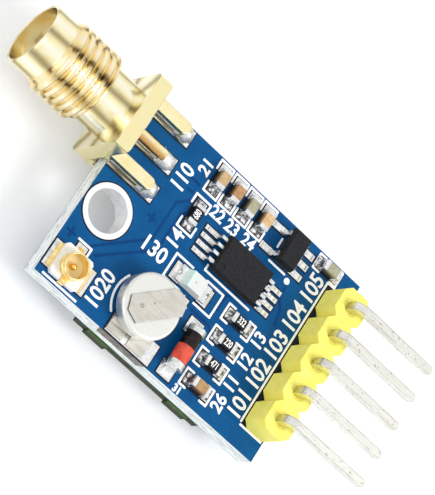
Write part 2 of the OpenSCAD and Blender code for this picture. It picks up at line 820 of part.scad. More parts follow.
module cell_top_tab() {
    half = top_tab_w / 2;
    flat_end = top_tab_drop;
    color("#bdb9b0") translate([cell_x, cell_y, 0]) rotate(tab_angle) {
        translate([0, 0, cell_top]) linear_extrude(tab_t) polygon([
            [-top_tab_nose, 0], [-top_tab_nose + top_tab_point, -half],
            [flat_end - top_tab_end, -half], [flat_end, -top_foot_w / 2],
            [flat_end, top_foot_w / 2], [flat_end - top_tab_end, half],
            [-top_tab_nose + top_tab_point, half]
        ]);
        translate([flat_end, -top_foot_w / 2, pad_t]) {
            cube([tab_t, top_foot_w, cell_top + tab_t - pad_t]);
            cube([top_tab_foot, top_foot_w, tab_t]);
        }
    }
}

module cell_bottom_tab() {
    high = cell_z - tab_t;
    color("#bdb9b0") difference() {
        translate([cell_x + bottom_tab_shift, 0, 0]) along_x(bottom_tab_w) polygon([
            [tab_edge, pad_t], [tab_step_y - tab_step_l, pad_t], [tab_step_y, high],
            [cell_y + cell_foot_r / 2, high], [cell_y + cell_foot_r / 2, cell_z],
            [tab_step_y - tab_t / 2, cell_z], [tab_step_y - tab_step_l - tab_t / 2, pad_t + tab_t],
            [tab_edge, pad_t + tab_t]
        ]);
        translate([cell_x + bottom_tab_shift - tab_slot / 2, tab_edge - cut, pad_t - cut])
            cube([tab_slot, tab_step_y - tab_edge + cut, cell_lift + 2 * cut]);
    }
}

module on_diode_axis() {
    translate([diode_x, diode_y, diode_z]) rotate([-90, 0, 0]) children();
}

module diode_glass() {
    r = diode_d / 2 - diode_step;
    l = diode_l - 2 * diode_cap_l;
    belly = r + diode_step / 2;
    color("#d8482c") on_diode_axis() rotate_extrude() polygon([
        [0, -l / 2], [r, -l / 2], [belly, -l / 4], [belly, l / 4], [r, l / 2], [0, l / 2]
    ]);
}

module diode_caps() {
    r = diode_d / 2;
    color("silver") for (side = [-1, 1]) on_diode_axis()
        translate([0, 0, side * (diode_l - diode_cap_l) / 2]) rotate([side > 0 ? 0 : 180, 0, 0])
            rotate_extrude() polygon([
                [0, -diode_cap_l / 2], [r, -diode_cap_l / 2], [r, diode_cap_l / 2 - chip_bevel],
                [r - chip_bevel, diode_cap_l / 2], [0, diode_cap_l / 2]
            ]);
}

module led_base() {
    color("white") on_pads([led_x, led_y, 0])
        translate([0, 0, led_base_h / 2]) cube([led_l - 2 * led_end_l, led_w, led_base_h], center = true);
}

module led_lens() {
    half = led_lens_l / 2;
    color("white") on_pads([led_x, led_y, 0]) translate([0, 0, led_base_h]) along_y(led_w) polygon([
        [-half, 0], [half, 0], [half - led_draft, led_lens_h], [-half + led_draft, led_lens_h]
    ]);
}

module led_terminals() {
    notch_d = led_w / 2;
    color("silver") on_pads([led_x, led_y, 0]) for (turn = [0, 180]) rotate(turn)
        linear_extrude(led_base_h) difference() {
            translate([led_l / 2 - led_end_l, -led_w / 2]) square([led_end_l, led_w]);
            translate([led_l / 2 + led_end_l / 4, 0]) circle(d = notch_d);
        }
}

module memory_chip_body() {
    color("#26262a") on_pads([memory_x, memory_y, 0]) translate([0, 0, chip_standoff]) difference() {
        moulded_body(memory_l, memory_w, memory_h);
        translate([dimple_in - memory_l / 2, dimple_in - memory_w / 2, memory_h - dimple_depth])
            cylinder(d = dimple_d, h = dimple_depth + cut);
        chip_lead_sockets(memory_l, memory_h, memory_span, memory_lead_w, memory_rows(), memory_rows());
    }
}

// All leads of a chip; left and right hold the leads' places across the chip
module chip_leads(l, h, span, width, left, right) {
    for (y = right) translate([0, y, 0]) gull_lead(l, h, span, width);
    for (y = left) translate([0, y, 0]) rotate(180) gull_lead(l, h, span, width);
}

// The same leads as seen from the chip's underside, for the sockets in its body
module chip_lead_sockets(l, h, span, width, left, right) {
    translate([0, 0, -chip_standoff]) chip_leads(l, h, span, width, left, right);
}

module memory_chip_leads() {
    color("silver") on_pads([memory_x, memory_y, 0])
        chip_leads(memory_l, memory_h, memory_span, memory_lead_w, memory_rows(), memory_rows());
}

module regulator_body() {
    color("#26262a") on_pads([regulator_x, regulator_y, 0]) translate([0, 0, chip_standoff]) difference() {
        moulded_body(regulator_l, regulator_w, regulator_h);
        chip_lead_sockets(regulator_l, regulator_h, regulator_span, regulator_lead_w,
            regulator_rows(180), regulator_rows(0));
    }
}

module regulator_leads() {
    color("silver") on_pads([regulator_x, regulator_y, 0]) chip_leads(
        regulator_l, regulator_h, regulator_span, regulator_lead_w, regulator_rows(180), regulator_rows(0));
}

// Middle of a chip part, between its plated ends
module chip_body(h) {
    translate([0, 0, h / 2])
        cube([chip_l - 2 * chip_end, chip_w - 2 * chip_skin, h - 2 * chip_skin], center = true);
}

// The two plated ends of a chip part
module chip_ends(h) {
    difference() {
        soft_block(chip_l, chip_w, h, chip_bevel);
        translate([0, 0, h / 2]) cube([chip_l - 2 * chip_end, chip_w + cut, h + cut], center = true);
    }
}

module resistor(k) {
    color("#1e1e20") on_pads(resistor_at(k)) chip_body(resistor_h);
}

module resistor_ends(k) {
    color("silver") on_pads(resistor_at(k)) chip_ends(resistor_h);
}

module capacitor(k) {
    color("#c79a62") on_pads(capacitor_at(k)) chip_body(capacitor_h);
}

module capacitor_ends(k) {
    color("silver") on_pads(capacitor_at(k)) chip_ends(capacitor_h);
}

// Solder at the +X end of a part of length l
module end_fillet(l, w, foot, height) {
    translate([l / 2, 0, 0]) along_y(w) polygon(fillet(foot, height));
}

// Solder at both ends of a part that stands on two pads
module end_fillets(l, w, foot, height) {
    for (turn = [0, 180]) rotate(turn) end_fillet(l, w, foot, height);
}

module chip_joints() {
    color("silver") {
        for (k = [1:resistors]) on_pads(resistor_at(k))
            end_fillets(chip_l, chip_w - 2 * chip_bevel, chip_fillet, resistor_h * resistor_wet);
        for (k = [1:capacitors]) on_pads(capacitor_at(k))
            end_fillets(chip_l, chip_w - 2 * chip_bevel, chip_fillet, capacitor_h * capacitor_wet);
        on_pads([led_x, led_y, 0]) end_fillets(led_l, led_w - pad_margin, chip_fillet, led_base_h);
        on_pads([diode_x, diode_y, 90]) end_fillets(diode_l, diode_d / 2, diode_fillet, diode_d / 2);
        for (turn = [0, 180]) {
            on_pads([memory_x, memory_y, turn]) for (y = memory_rows()) translate([0, y, 0])
                end_fillet(memory_span, memory_lead_w, memory_fillet, lead_t);
            on_pads([regulator_x, regulator_y, turn]) for (y = regulator_rows(turn)) translate([0, y, 0])
                end_fillet(regulator_span, regulator_lead_w, regulator_fillet, lead_t);
        }
    }
}

module header_block() {
    color("#f2dc4a") translate([pin_x, 0, pad_t]) difference() {
        linear_extrude(header_h) for (k = [1:header_ways]) translate([0, pin_y(k)])
            bevelled(header_w, header_pitch, header_bevel);
        for (k = [1:header_ways]) translate([0, pin_y(k), 0]) {
            translate([0, 0, header_h / 2]) cube([pin_w, pin_w, header_h + 2 * cut], center = true);
            translate([0, 0, header_h - funnel_depth])
                cylinder(d1 = pin_w, d2 = funnel_d, h = funnel_depth);
        }
    }
}

// A square pin: upright through the block, bent over and drawn out to its tip
module header_pin(k) {
    half = pin_w / 2;
    tail = -board_t - pin_tail;
    outer = pin_bend + pin_w;
    tip_half = pin_tip_w / 2;
    corner = [half + pin_bend, pin_level - half - pin_bend];
    side = concat(
        [[-tip_half, tail], [tip_half, tail], [half, tail + pin_taper]],
        arc(corner[0], corner[1], pin_bend, 180, 90, 6),
        [[pin_reach - pin_taper, pin_level - half], [pin_reach, pin_level - tip_half],
            [pin_reach, pin_level + tip_half], [pin_reach - pin_taper, pin_level + half]],
        arc(corner[0], corner[1], outer, 90, 180, 6),
        [[-half, tail + pin_taper]]
    );
    color("#d8d8d4") translate([pin_x, pin_y(k), 0]) intersection() {
        along_y(pin_w) polygon(side);
        translate([0, 0, tail]) linear_extrude(pin_level + pin_w - tail) polygon([
            [-pin_w, -half], [pin_reach - pin_taper, -half], [pin_reach, -tip_half],
            [pin_reach, tip_half], [pin_reach - pin_taper, half], [-pin_w, half]
        ]);
        translate([pin_reach / 2, 0, 0]) along_x(2 * pin_reach) polygon([
            [-tip_half, tail], [tip_half, tail], [half, tail + pin_taper], [half, pin_level + pin_w],
            [-half, pin_level + pin_w], [-half, tail + pin_taper]
        ]);
    }
}

// Solder cones round the pins' tails, and the solder in the holes
module header_joints() {
    ring = pin_ring_d / 2;
    core = pin_w / sqrt(2) + joint_gap;
    filled = board_t + 2 * pad_t;
    color("silver") for (k = [1:header_ways]) translate([pin_x, pin_y(k), -board_t - pad_t]) difference() {
        union() {
            mirror([0, 0, 1]) {
                rotate_extrude() translate([core, 0]) polygon(fillet(ring - core, joint_h));
                cylinder(r = core, h = joint_h);
            }
            cylinder(d = pin_hole_d, h = filled);
        }
        translate([-pin_w / 2, -pin_w / 2, -joint_h - cut])
            cube([pin_w, pin_w, joint_h + filled + 2 * cut]);
    }
}

module receiver_board() {
    color("#4f7a3c") translate([0, 0, receiver_floor]) linear_extrude(receiver_t) {
        difference() {
            translate([receiver_x, receiver_y]) square([receiver_l, receiver_w], center = true);
            at_edge_contacts() circle(d = contact_notch_d);
        }
        for (side = [-1, 1])
            translate([receiver_x + side * stub_spacing / 2 - stub_w / 2, receiver_margin - stub_reach])
                square([stub_w, stub_reach + contact_notch_d]);
    }
}

module shield_outline(inset) {
    step = 2 * (shield_margin + inset);
    translate([receiver_x, receiver_y]) rounded(receiver_l - step, receiver_w - step, shield_r - inset);
}

module receiver_shield() {
    color("#c9cbcc") translate([0, 0, shield_floor]) difference() {
        linear_extrude(shield_h) shield_outline(0);
        translate([0, 0, shield_t]) linear_extrude(shield_h) shield_outline(shield_t);
    }
}

// A flat part under the shield, hung on the carrier; at is from the receiver's middle
module under_shield(at, size) {
    translate([receiver_x + at[0], receiver_y + at[1], receiver_floor - size[2]])
        soft_block(size[0], size[1], size[2], chip_bevel);
}

module receiver_chip() {
    color("#26262a") under_shield(receiver_chip_at, receiver_chip_size);
}

module receiver_crystal() {
    color("#d0c9a8") under_shield(crystal_at, crystal_size);
}

module receiver_filter() {
    color("#8c8c88") under_shield(filter_at, filter_size);
}

module receiver_joints() {
    color("silver") translate([0, 0, receiver_floor]) linear_extrude(receiver_t)
        at_edge_contacts() intersection() {
            circle(d = contact_notch_d);
            translate([-contact_notch_d / 2, -contact_notch_d / 2])
                square([contact_notch_d / 2 + edge_solder, contact_notch_d]);
        }
}

// The whole module, moved so that its box stands over the origin
module placed() {
    translate([-middle_x, -middle_y, stand]) children();
}

placed() circuit_board();
placed() hole_plating();
placed() pads_top();
placed() pads_bottom();
placed() antenna_jack_body();
placed() antenna_jack_insulator();
placed() antenna_jack_contact();
placed() antenna_jack_joints();
placed() micro_socket_base();
placed() micro_socket_shell();
placed() micro_socket_pin();
placed() backup_cell();
placed() cell_top_tab();
placed() cell_bottom_tab();
placed() diode_glass();
placed() diode_caps();
placed() led_base();
placed() led_lens();
placed() led_terminals();
placed() memory_chip_body();
placed() memory_chip_leads();
placed() regulator_body();
placed() regulator_leads();
for (k = [1:resistors]) {
    placed() resistor(k);
    placed() resistor_ends(k);
}
for (k = [1:capacitors]) {
    placed() capacitor(k);
    placed() capacitor_ends(k);
}
placed() chip_joints();
placed() header_block();
for (k = [1:header_ways]) {
    placed() header_pin(k);
}
placed() header_joints();
placed() receiver_board();
placed() receiver_shield();
placed() receiver_chip();
placed() receiver_crystal();
placed() receiver_filter();
placed() receiver_joints();
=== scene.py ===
"""Looks of a small satellite positioning module: finishes, board print, copper traces, solder and stage."""
import json
import logging
import math
from contextlib import contextmanager
from dataclasses import dataclass
from enum import Enum
from functools import cache
from typing import ClassVar, Dict, Iterator, List, Optional, Sequence, Tuple, Union

import bpy
from mathutils import Matrix, Vector


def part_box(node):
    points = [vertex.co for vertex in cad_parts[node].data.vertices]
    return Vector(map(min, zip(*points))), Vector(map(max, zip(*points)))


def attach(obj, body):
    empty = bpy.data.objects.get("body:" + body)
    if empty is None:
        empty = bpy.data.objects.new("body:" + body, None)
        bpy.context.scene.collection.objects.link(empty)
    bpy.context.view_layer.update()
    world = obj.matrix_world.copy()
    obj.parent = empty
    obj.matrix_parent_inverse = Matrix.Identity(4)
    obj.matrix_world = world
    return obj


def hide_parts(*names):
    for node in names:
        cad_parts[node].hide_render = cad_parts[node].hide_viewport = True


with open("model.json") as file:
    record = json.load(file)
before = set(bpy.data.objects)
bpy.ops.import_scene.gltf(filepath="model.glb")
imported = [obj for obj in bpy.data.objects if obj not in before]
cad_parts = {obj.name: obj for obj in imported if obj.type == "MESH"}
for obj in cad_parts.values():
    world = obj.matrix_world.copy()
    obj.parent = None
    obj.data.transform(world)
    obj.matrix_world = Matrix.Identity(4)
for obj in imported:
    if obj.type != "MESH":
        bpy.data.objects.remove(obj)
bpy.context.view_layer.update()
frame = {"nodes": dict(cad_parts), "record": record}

MM = 0.001
MERGE = 1e-7
ROOT = "root"
LOG = logging.getLogger("module_looks")

# The antenna jack's axis (across the board and up) and its flange's front, in board millimetres
JACK_AXIS = (12.65, 0.51)
FLANGE_FRONT = -1.7
# Middles of the resistors, three in a column and one by itself, in board millimetres
RESISTOR_COLUMN = ((15.22, 3.45), (15.22, 5.38), (15.22, 7.31))
LONE_RESISTOR = (7.75, 11.1)

Colour = Tuple[float, float, float, float]
Point = Tuple[float, float]
Triple = Tuple[float, float, float]
Line = Sequence[Point]
Key = Union[int, str]
Term = Union["Field", float]
Setting = Union["Field", float, Triple, Colour]
Piece = bpy.types.Object
Berth = Tuple[float, float, Matrix]

EVEN: Triple = (1.0, 1.0, 1.0)


def ink(red: int, green: int, blue: int) -> Colour:
    """Turns a screen colour into the linear colour that a socket takes.

    Args:
        red: Red part, 0 to 255.
        green: Green part, 0 to 255.
        blue: Blue part, 0 to 255.

    Returns:
        The linear colour with full alpha.
    """
    def linear(part: int) -> float:
        """One part of the colour, without the screen's curve."""
        share = part / 255
        return share / 12.92 if share <= 0.04045 else ((share + 0.055) / 1.055) ** 2.4

    return linear(red), linear(green), linear(blue), 1.0


class Pattern(Enum):
    """The random patterns, each as the offset that sets it apart from the others."""

    MOTTLE = 0.0
    STREAKS = 3.0
    CLOUDS = 5.0
    RELIEF = 7.0
    WAVER = 11.0
    STAINS = 13.0
    SPECKS = 17.0
    MARKS = 21.0
    SPOTS = 29.0


class Field:
    """A shader value that takes part in Python sums: each operator adds a Math node."""

    def __init__(self, graph: "Graph", socket: Optional[bpy.types.NodeSocket]) -> None:
        """Wraps one output socket of a graph, or none for a node without outputs."""
        self.graph = graph
        self.socket = socket

    def sibling(self, output: Key) -> "Field":
        """Another output of the same node, by name or number."""
        return Field(self.graph, self.socket.node.outputs[output])

    def math(self, operation: str, *terms: Term) -> "Field":
        """Result of a Math node with an operation on some terms, in order."""
        return self.graph.node("ShaderNodeMath", {"operation": operation}, dict(enumerate(terms)))

    def __add__(self, other: Term) -> "Field":
        """Sum of this field and another term."""
        return self.math("ADD", self, other)

    def __sub__(self, other: Term) -> "Field":
        """This field less another term."""
        return self.math("SUBTRACT", self, other)

    def __rsub__(self, other: Term) -> "Field":
        """Another term less this field."""
        return self.math("SUBTRACT", other, self)

    def __mul__(self, other: Term) -> "Field":
        """Product of this field and another term."""
        return self.math("MULTIPLY", self, other)

    def __truediv__(self, other: Term) -> "Field":
        """This field over another term."""
        return self.math("DIVIDE", self, other)

    def __rtruediv__(self, other: Term) -> "Field":
        """Another term over this field."""
        return self.math("DIVIDE", other, self)

    def __pow__(self, other: Term) -> "Field":
        """This field raised to another term."""
        return self.math("POWER", self, other)

    def __abs__(self) -> "Field":
        """Size of this field without its sign."""
        return self.math("ABSOLUTE", self)

    __radd__ = __add__
    __rmul__ = __mul__

    def hypot(self, other: "Field") -> "Field":
        """Length of the line whose two sides are this field and another one."""
        return (self * self + other * other) ** 0.5

    def rise(self, low: float, high: float) -> "Field":
        """Smooth step from 0, where the field has one value, to 1, where it has another."""
        sockets = {"Value": self, "From Min": low, "From Max": high}
        return self.graph.node("ShaderNodeMapRange", {"interpolation_type": "SMOOTHSTEP"}, sockets)

    def within(self, low: float, high: float, soft: float) -> "Field":
        """1 inside a band of values and 0 outside it, with a fade of a set width at each end."""
        return self.rise(low - soft / 2, low + soft / 2) * self.rise(high + soft / 2, high - soft / 2)


class Graph:
    """The shader nodes of one material or of the world."""

    mix_inputs: ClassVar[Tuple[int, int, int]] = (0, 6, 7)
    mix_output: ClassVar[int] = 2
    noise_detail: ClassVar[float] = 3.0
    noise_range: ClassVar[Point] = (0.3, 0.7)

    def __init__(self, owner: Union[bpy.types.Material, bpy.types.World]) -> None:
        """Empties the owner's node tree and takes it over.

        Args:
            owner: The material or the world.
        """
        owner.use_nodes = True
        self.owner = owner
        self.tree = owner.node_tree
        self.tree.nodes.clear()

    def node(self, kind: str, settings: Optional[Dict[str, Key]] = None,
             sockets: Optional[Dict[Key, Setting]] = None, output: Key = 0) -> Field:
        """Adds a node of any type.

        Args:
            kind: Type of the node.
            settings: Its properties, which are set first.
            sockets: Values or links of its inputs, by name or number.
            output: The output that is wanted, by name or number.

        Returns:
            That output as a field, which is empty for a node without outputs.
        """
        made = self.tree.nodes.new(kind)
        for key, value in (settings or {}).items():
            setattr(made, key, value)
        for key, value in (sockets or {}).items():
            if isinstance(value, Field):
                self.tree.links.new(value.socket, made.inputs[key])
            else:
                made.inputs[key].default_value = value
        return Field(self, made.outputs[output] if len(made.outputs) else None)

    def mix(self, share: Term, low: Setting, high: Setting) -> Field:
        """Mixes two colours: the share is 0 for the first one and 1 for the second."""
        sockets = dict(zip(self.mix_inputs, (share, low, high)))
        return self.node("ShaderNodeMix", {"data_type": "RGBA"}, sockets, self.mix_output)

    def layer(self, base: Setting, *layers: Tuple[Term, Setting]) -> Setting:
        """Lays colours over one another.

        Args:
            base: The lowest colour.
            layers: The share and the colour of each layer, from the lowest one up.

        Returns:
            The colour that shows.
        """
        for share, tone in layers:
            base = self.mix(share, base, tone)
        return base

    def place(self) -> Tuple[Field, Field, Field]:
        """Finds the point's own place on the board.

        Returns:
            Its place along, across and over the board, in millimetres from the board's corner.
        """
        whole = self.node("ShaderNodeTexCoord", output="Object")
        apart = self.node("ShaderNodeSeparateXYZ", sockets={0: whole})
        x, y, z = [apart.sibling(axis) / MM - BOARD.corner[axis] / MM for axis in range(3)]
        return x, y, z

    def noise(self, size: float, stretch: Triple = EVEN, pattern: Pattern = Pattern.MOTTLE) -> Field:
        """A soft random pattern in the object's own coordinates.

        Args:
            size: Size of its spots, in millimetres.
            stretch: How many times longer the spots are along each axis.
            pattern: Which pattern it is.

        Returns:
            The pattern, from 0 to 1.
        """
        whole = self.node("ShaderNodeTexCoord", output="Object")
        scale = tuple(1 / (size * MM * factor) for factor in stretch)
        shift = (pattern.value,) * 3
        mapped = self.node("ShaderNodeMapping", None, {"Vector": whole, "Location": shift, "Scale": scale})
        sockets = {"Vector": mapped, "Scale": 1.0, "Detail": self.noise_detail}
        return self.node("ShaderNodeTexNoise", None, sockets, "Fac").rise(*self.noise_range)

    def close(self, shader: Field, kind: str = "ShaderNodeOutputMaterial") -> None:
        """Feeds the finished shader to the tree's output node."""
        self.node(kind, sockets={"Surface": shader})


@dataclass(frozen=True)
class BoardFrame:
    """Places in millimetres from the board's top corner at the jack and the near long edge."""

    corner: Vector
    length: float
    width: float

    @classmethod
    def of_node(cls, node: str) -> "BoardFrame":
        """Reads the board's corner and size from its CAD node.

        Args:
            node: Name of the node.

        Returns:
            The board's frame.
        """
        low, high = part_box(node)
        size = (high - low) / MM
        return cls(Vector((low.x, low.y, high.z)), size.x, size.y)

    def at(self, x: float, y: float, z: float = 0.0) -> Vector:
        """A place on the board as a point of the shared frame, in metres."""
        return self.corner + Vector((x, y, z)) * MM


BOARD = BoardFrame.of_node("circuit_board")


@dataclass(frozen=True)
class Finish:
    """A finish with a fine mottle: two colours, a range of roughness and a raised grain."""

    name: str
    light: Colour
    dark: Colour
    rough: Point = (0.3, 0.5)
    grain: float = 0.3
    stretch: Triple = EVEN
    metal: float = 0.0
    shine: float = 0.5
    # Emission strength: above zero, it paints a glow on a part that is no lamp.
    glow: float = 0.0
    relief: float = 0.004
    relief_grain: float = 0.12
    edge: float = 0.03
    edge_samples: int = 4

    def colour(self, graph: Graph, mottle: Field) -> Setting:
        """Colour over the surface, mixed by the mottle."""
        return graph.mix(mottle, self.dark, self.light)

    def roughness(self, graph: Graph, mottle: Field) -> Setting:
        """Roughness over the surface, from the smooth end of the range to the dull one."""
        low, high = self.rough
        return low + (1 - mottle) * (high - low)

    def normal(self, graph: Graph) -> Field:
        """Normal with the raised grain and, where the finish has them, rounded edges.

        Args:
            graph: The material's nodes.

        Returns:
            The normal.
        """
        height = graph.noise(self.relief_grain, self.stretch, Pattern.RELIEF)
        sockets = {"Distance": self.relief * MM, "Height": height}
        if self.edge > 0:
            settings = {"samples": self.edge_samples}
            sockets["Normal"] = graph.node("ShaderNodeBevel", settings, {"Radius": self.edge * MM})
        return graph.node("ShaderNodeBump", None, sockets)

    @cache
    def build(self) -> bpy.types.Material:
        """Makes the material, once for each finish.

        Returns:
            A material whose nodes give this finish.
        """
        graph = Graph(bpy.data.materials.new(self.name))
        mottle = graph.noise(self.grain, self.stretch)
        sockets = {
            "Base Color": self.colour(graph, mottle),
            "Roughness": self.roughness(graph, mottle),
            "Metallic": self.metal,
            "Specular IOR Level": self.shine,
            "Emission Color": self.light,
            "Emission Strength": self.glow,
            "Normal": self.normal(graph),
        }
        graph.close(graph.node("ShaderNodeBsdfPrincipled", None, sockets, "BSDF"))
        return graph.owner


@dataclass(frozen=True)
class MaskedLaminate(Finish):
    """Solder mask on both faces of a glass laminate, whose cut edges are bare."""

    core: Colour = ink(250, 254, 255)
    streak: Colour = ink(200, 211, 207)
    streak_size: float = 0.16
    streak_stretch: Triple = (9.0, 9.0, 1.0)
    streak_fall: float = 2.4
    mark: Colour = ink(92, 98, 92)
    mark_share: float = 0.6
    mark_size: float = 0.12
    mark_stretch: Triple = (5.0, 5.0, 1.0)
    mark_range: Point = (0.86, 0.98)
    top: float = 0.0
    bottom: float = -1.6
    skin: float = 0.05
    edge_dullness: float = 0.4

    def cut_edge(self, graph: Graph) -> Field:
        """1 on the bare cut edges and 0 on the two masked faces."""
        height = graph.place()[2]
        return height.within(self.bottom + self.skin, self.top - self.skin, self.skin)

    def colour(self, graph: Graph, mottle: Field) -> Setting:
        """Mask on the faces, streaked laminate on the edges.

        Args:
            graph: The material's nodes.
            mottle: The fine mottle.

        Returns:
            The colour over the surface.
        """
        streaks = graph.noise(self.streak_size, self.streak_stretch, Pattern.STREAKS) ** self.streak_fall
        marks = graph.noise(self.mark_size, self.mark_stretch, Pattern.MARKS).rise(*self.mark_range)
        laminate = graph.layer(self.core, (streaks, self.streak), (marks * self.mark_share, self.mark))
        return graph.mix(self.cut_edge(graph), super().colour(graph, mottle), laminate)

    def roughness(self, graph: Graph, mottle: Field) -> Setting:
        """Glossy mask and dull edges."""
        return super().roughness(graph, mottle) + self.cut_edge(graph) * self.edge_dullness


@dataclass(frozen=True)
class TurnedGold(Finish):
    """Gold plate on a turned barrel, with painted reflections and a painted highlight along its length, and
    painted shade in the grooves, inside the socket, in the bore and on the tail.
    """

    plain: Colour = ink(247, 235, 180)
    plain_share: float = 0.8
    # Painted shade on the near half of the flat tail, so that it looks like a round rod.
    tail_shade: Colour = ink(190, 132, 62)
    tail_share: float = 0.8
    # Painted highlight: a pale band along the barrel where it faces the camera.
    gleam: Colour = ink(255, 251, 236)
    # Dark painted reflections along the barrel; the share below also scales the painted highlight and the
    # dark spots.
    streak: Colour = ink(150, 134, 94)
    streak_share: float = 0.85
    # Painted shade: deep gold over the thread and in its grooves, and in streaks inside the socket.
    deep: Colour = ink(240, 204, 130)
    deep_share: float = 0.25
    # Dark painted reflection spots on the thread.
    spot: Colour = ink(88, 58, 26)
    lining: Colour = ink(255, 246, 208)
    # Share of the deep gold painted shade in the streaks inside the socket.
    lining_share: float = 0.5
    # Painted shade down the bore of the centre contact.
    bore_shade: Colour = ink(104, 72, 30)
    bore_share: float = 0.9
    # Number of dark painted reflections round the barrel.
    bands: float = 8.0
    # Angle round the axis, in degrees, that faces the camera: the painted highlight is centred there, with
    # dark painted reflections either side.
    facing: float = 114.6
    streak_fall: float = 4.0
    gleam_fall: float = 3.0
    waver_size: float = 1.6
    waver_stretch: Triple = (3.0, 1.0, 1.0)
    waver_reach: float = 0.7
    spot_size: float = 0.5
    spot_stretch: Triple = (1.0, 2.0, 2.0)
    spot_range: Point = (0.45, 0.7)
    spot_fall: float = 2.0
    flange: Point = (FLANGE_FRONT, FLANGE_FRONT + 1.25)
    flange_fade: float = 0.04
    tail_half: Point = (0.55, 0.5)
    tail_side: Point = (0.12, -0.3)
    thread: Point = (-8.2, -4.0)
    groove: Point = (2.94, 2.66)
    nose: float = -8.0
    inside: Point = (2.39, 2.36)
    bore_end: float = -5.0
    bore: Point = (0.5, 0.48)
    fade: float = 0.1

    def waves(self, turn: Field, waver: Field) -> Tuple[Field, Field]:
        """Painted reflections along the barrel: dark streaks with painted highlights between them.

        Args:
            turn: Angle round the jack's axis.
            waver: Pattern that bends the streaks.

        Returns:
            The dark painted reflections and the painted highlights between them, each from 0 to 1.
        """
        wave = (turn - math.radians(self.facing)) * self.bands + (waver - 0.5) * self.waver_reach
        swing = wave.math("COSINE", wave) * 0.5
        return (0.5 - swing) ** self.streak_fall, (0.5 + swing) ** self.gleam_fall

    def colour(self, graph: Graph, mottle: Field) -> Setting:
        """Pale plate with painted reflections and a painted highlight, with deep gold painted shade in the
        grooves and in the socket, and painted shade in the bore and on the tail.

        Args:
            graph: The material's nodes.
            mottle: The fine mottle.

        Returns:
            The colour over the surface.
        """
        x, y, z = graph.place()
        across, up = y - JACK_AXIS[0], z - JACK_AXIS[1]
        radius = across.hypot(up)
        waver = graph.noise(self.waver_size, self.waver_stretch, Pattern.WAVER)
        # Painted reflections and highlights, set by the angle round the jack's axis.
        streaks, painted_highlights = self.waves(up.math("ARCTAN2", up, across), waver)
        front, back = self.flange
        flange = x.within(front, back, self.flange_fade)
        tail = x.rise(back - self.fade / 2, back + self.fade / 2) * abs(across).rise(*self.tail_half)
        hollow = x.rise(self.nose + self.fade, self.nose) * radius.rise(*self.inside)
        outside = x.rise(front + self.fade, front) * (1 - hollow) * self.streak_share
        threaded = x.within(*self.thread, self.fade)
        # Painted shade: deep gold over the thread, stronger in its grooves.
        groove_shade_mask = threaded * radius.rise(*self.groove) + threaded
        spots = graph.noise(self.spot_size, self.spot_stretch, Pattern.SPOTS).rise(*self.spot_range)
        # Dark painted reflection spots, on the thread along the dark reflections.
        painted_reflection_spots = threaded * streaks ** self.spot_fall * spots * self.streak_share
        # Painted shade down the bore.
        bored = x.rise(self.bore_end, self.bore_end - self.fade) * radius.rise(*self.bore)
        return graph.layer(
            super().colour(graph, mottle),
            (flange * self.plain_share, self.plain),
            # Painted shade on the tail's near side.
            (tail * across.rise(*self.tail_side) * self.tail_share, self.tail_shade),
            # Painted highlight and dark painted reflections over the outside of the barrel.
            (painted_highlights * outside, self.gleam),
            (streaks * outside, self.streak),
            (groove_shade_mask * self.deep_share, self.deep),
            (painted_reflection_spots, self.spot),
            # Inside the socket: the pale lining, streaked with the deep gold painted shade.
            (hollow, graph.mix(waver * self.lining_share, self.lining, self.deep)),
            (bored * self.bore_share, self.bore_shade),
        )


@dataclass(frozen=True)
class FluxedSolder(Finish):
    """Pale solder with mottled painted shade round the small parts."""

    # Painted shade: dark mottled patches on the pads and joints round the small parts.
    stain: Colour = ink(50, 53, 56)
    stain_share: float = 0.85
    stain_size: float = 0.3
    stain_range: Point = (0.3, 0.7)
    fade: float = 0.1
    # Zones that take the painted shade, round the small parts: left, right, near and far edge, in board
    # millimetres.
    zones: Tuple[Tuple[float, float, float, float], ...] = (
        (7.2, 13.2, 12.9, 14.4), (7.0, 8.6, 9.6, 12.6), (13.8, 16.7, 0.8, 8.1), (17.7, 18.7, 14.5, 15.8))

    def colour(self, graph: Graph, mottle: Field) -> Setting:
        """Pale solder, with mottled painted shade inside the zones.

        Args:
            graph: The material's nodes.
            mottle: The fine mottle.

        Returns:
            The colour over the surface.
        """
        x, y, _ = graph.place()
        # Mottled painted shade, only inside the zones.
        painted_shades = graph.noise(self.stain_size, pattern=Pattern.STAINS).rise(*self.stain_range)
        solder = super().colour(graph, mottle)
        for left, right, low, high in self.zones:
            near = x.within(left, right, self.fade) * y.within(low, high, self.fade)
            solder = graph.mix(near * painted_shades * self.stain_share, solder, self.stain)
        return solder


@dataclass(frozen=True)
class CutCeramic(Finish):
    """Fired ceramic block with painted shade on its sides, darker towards the board."""

    rough: Point = (0.3, 0.45)
    grain: float = 0.25
    shine: float = 0.3
    # Painted shade on the sides, darkest at the board.
    side: Colour = ink(52, 40, 30)
    side_share: float = 0.9
    side_span: Point = (0.81, 0.29)

    def colour(self, graph: Graph, mottle: Field) -> Setting:
        """Mottled top, and sides with painted shade that darkens towards the board."""
        # Painted shade by height: darker down the sides towards the board.
        sides = graph.place()[2].rise(*self.side_span)
        return graph.mix(sides * self.side_share, super().colour(graph, mottle), self.side)


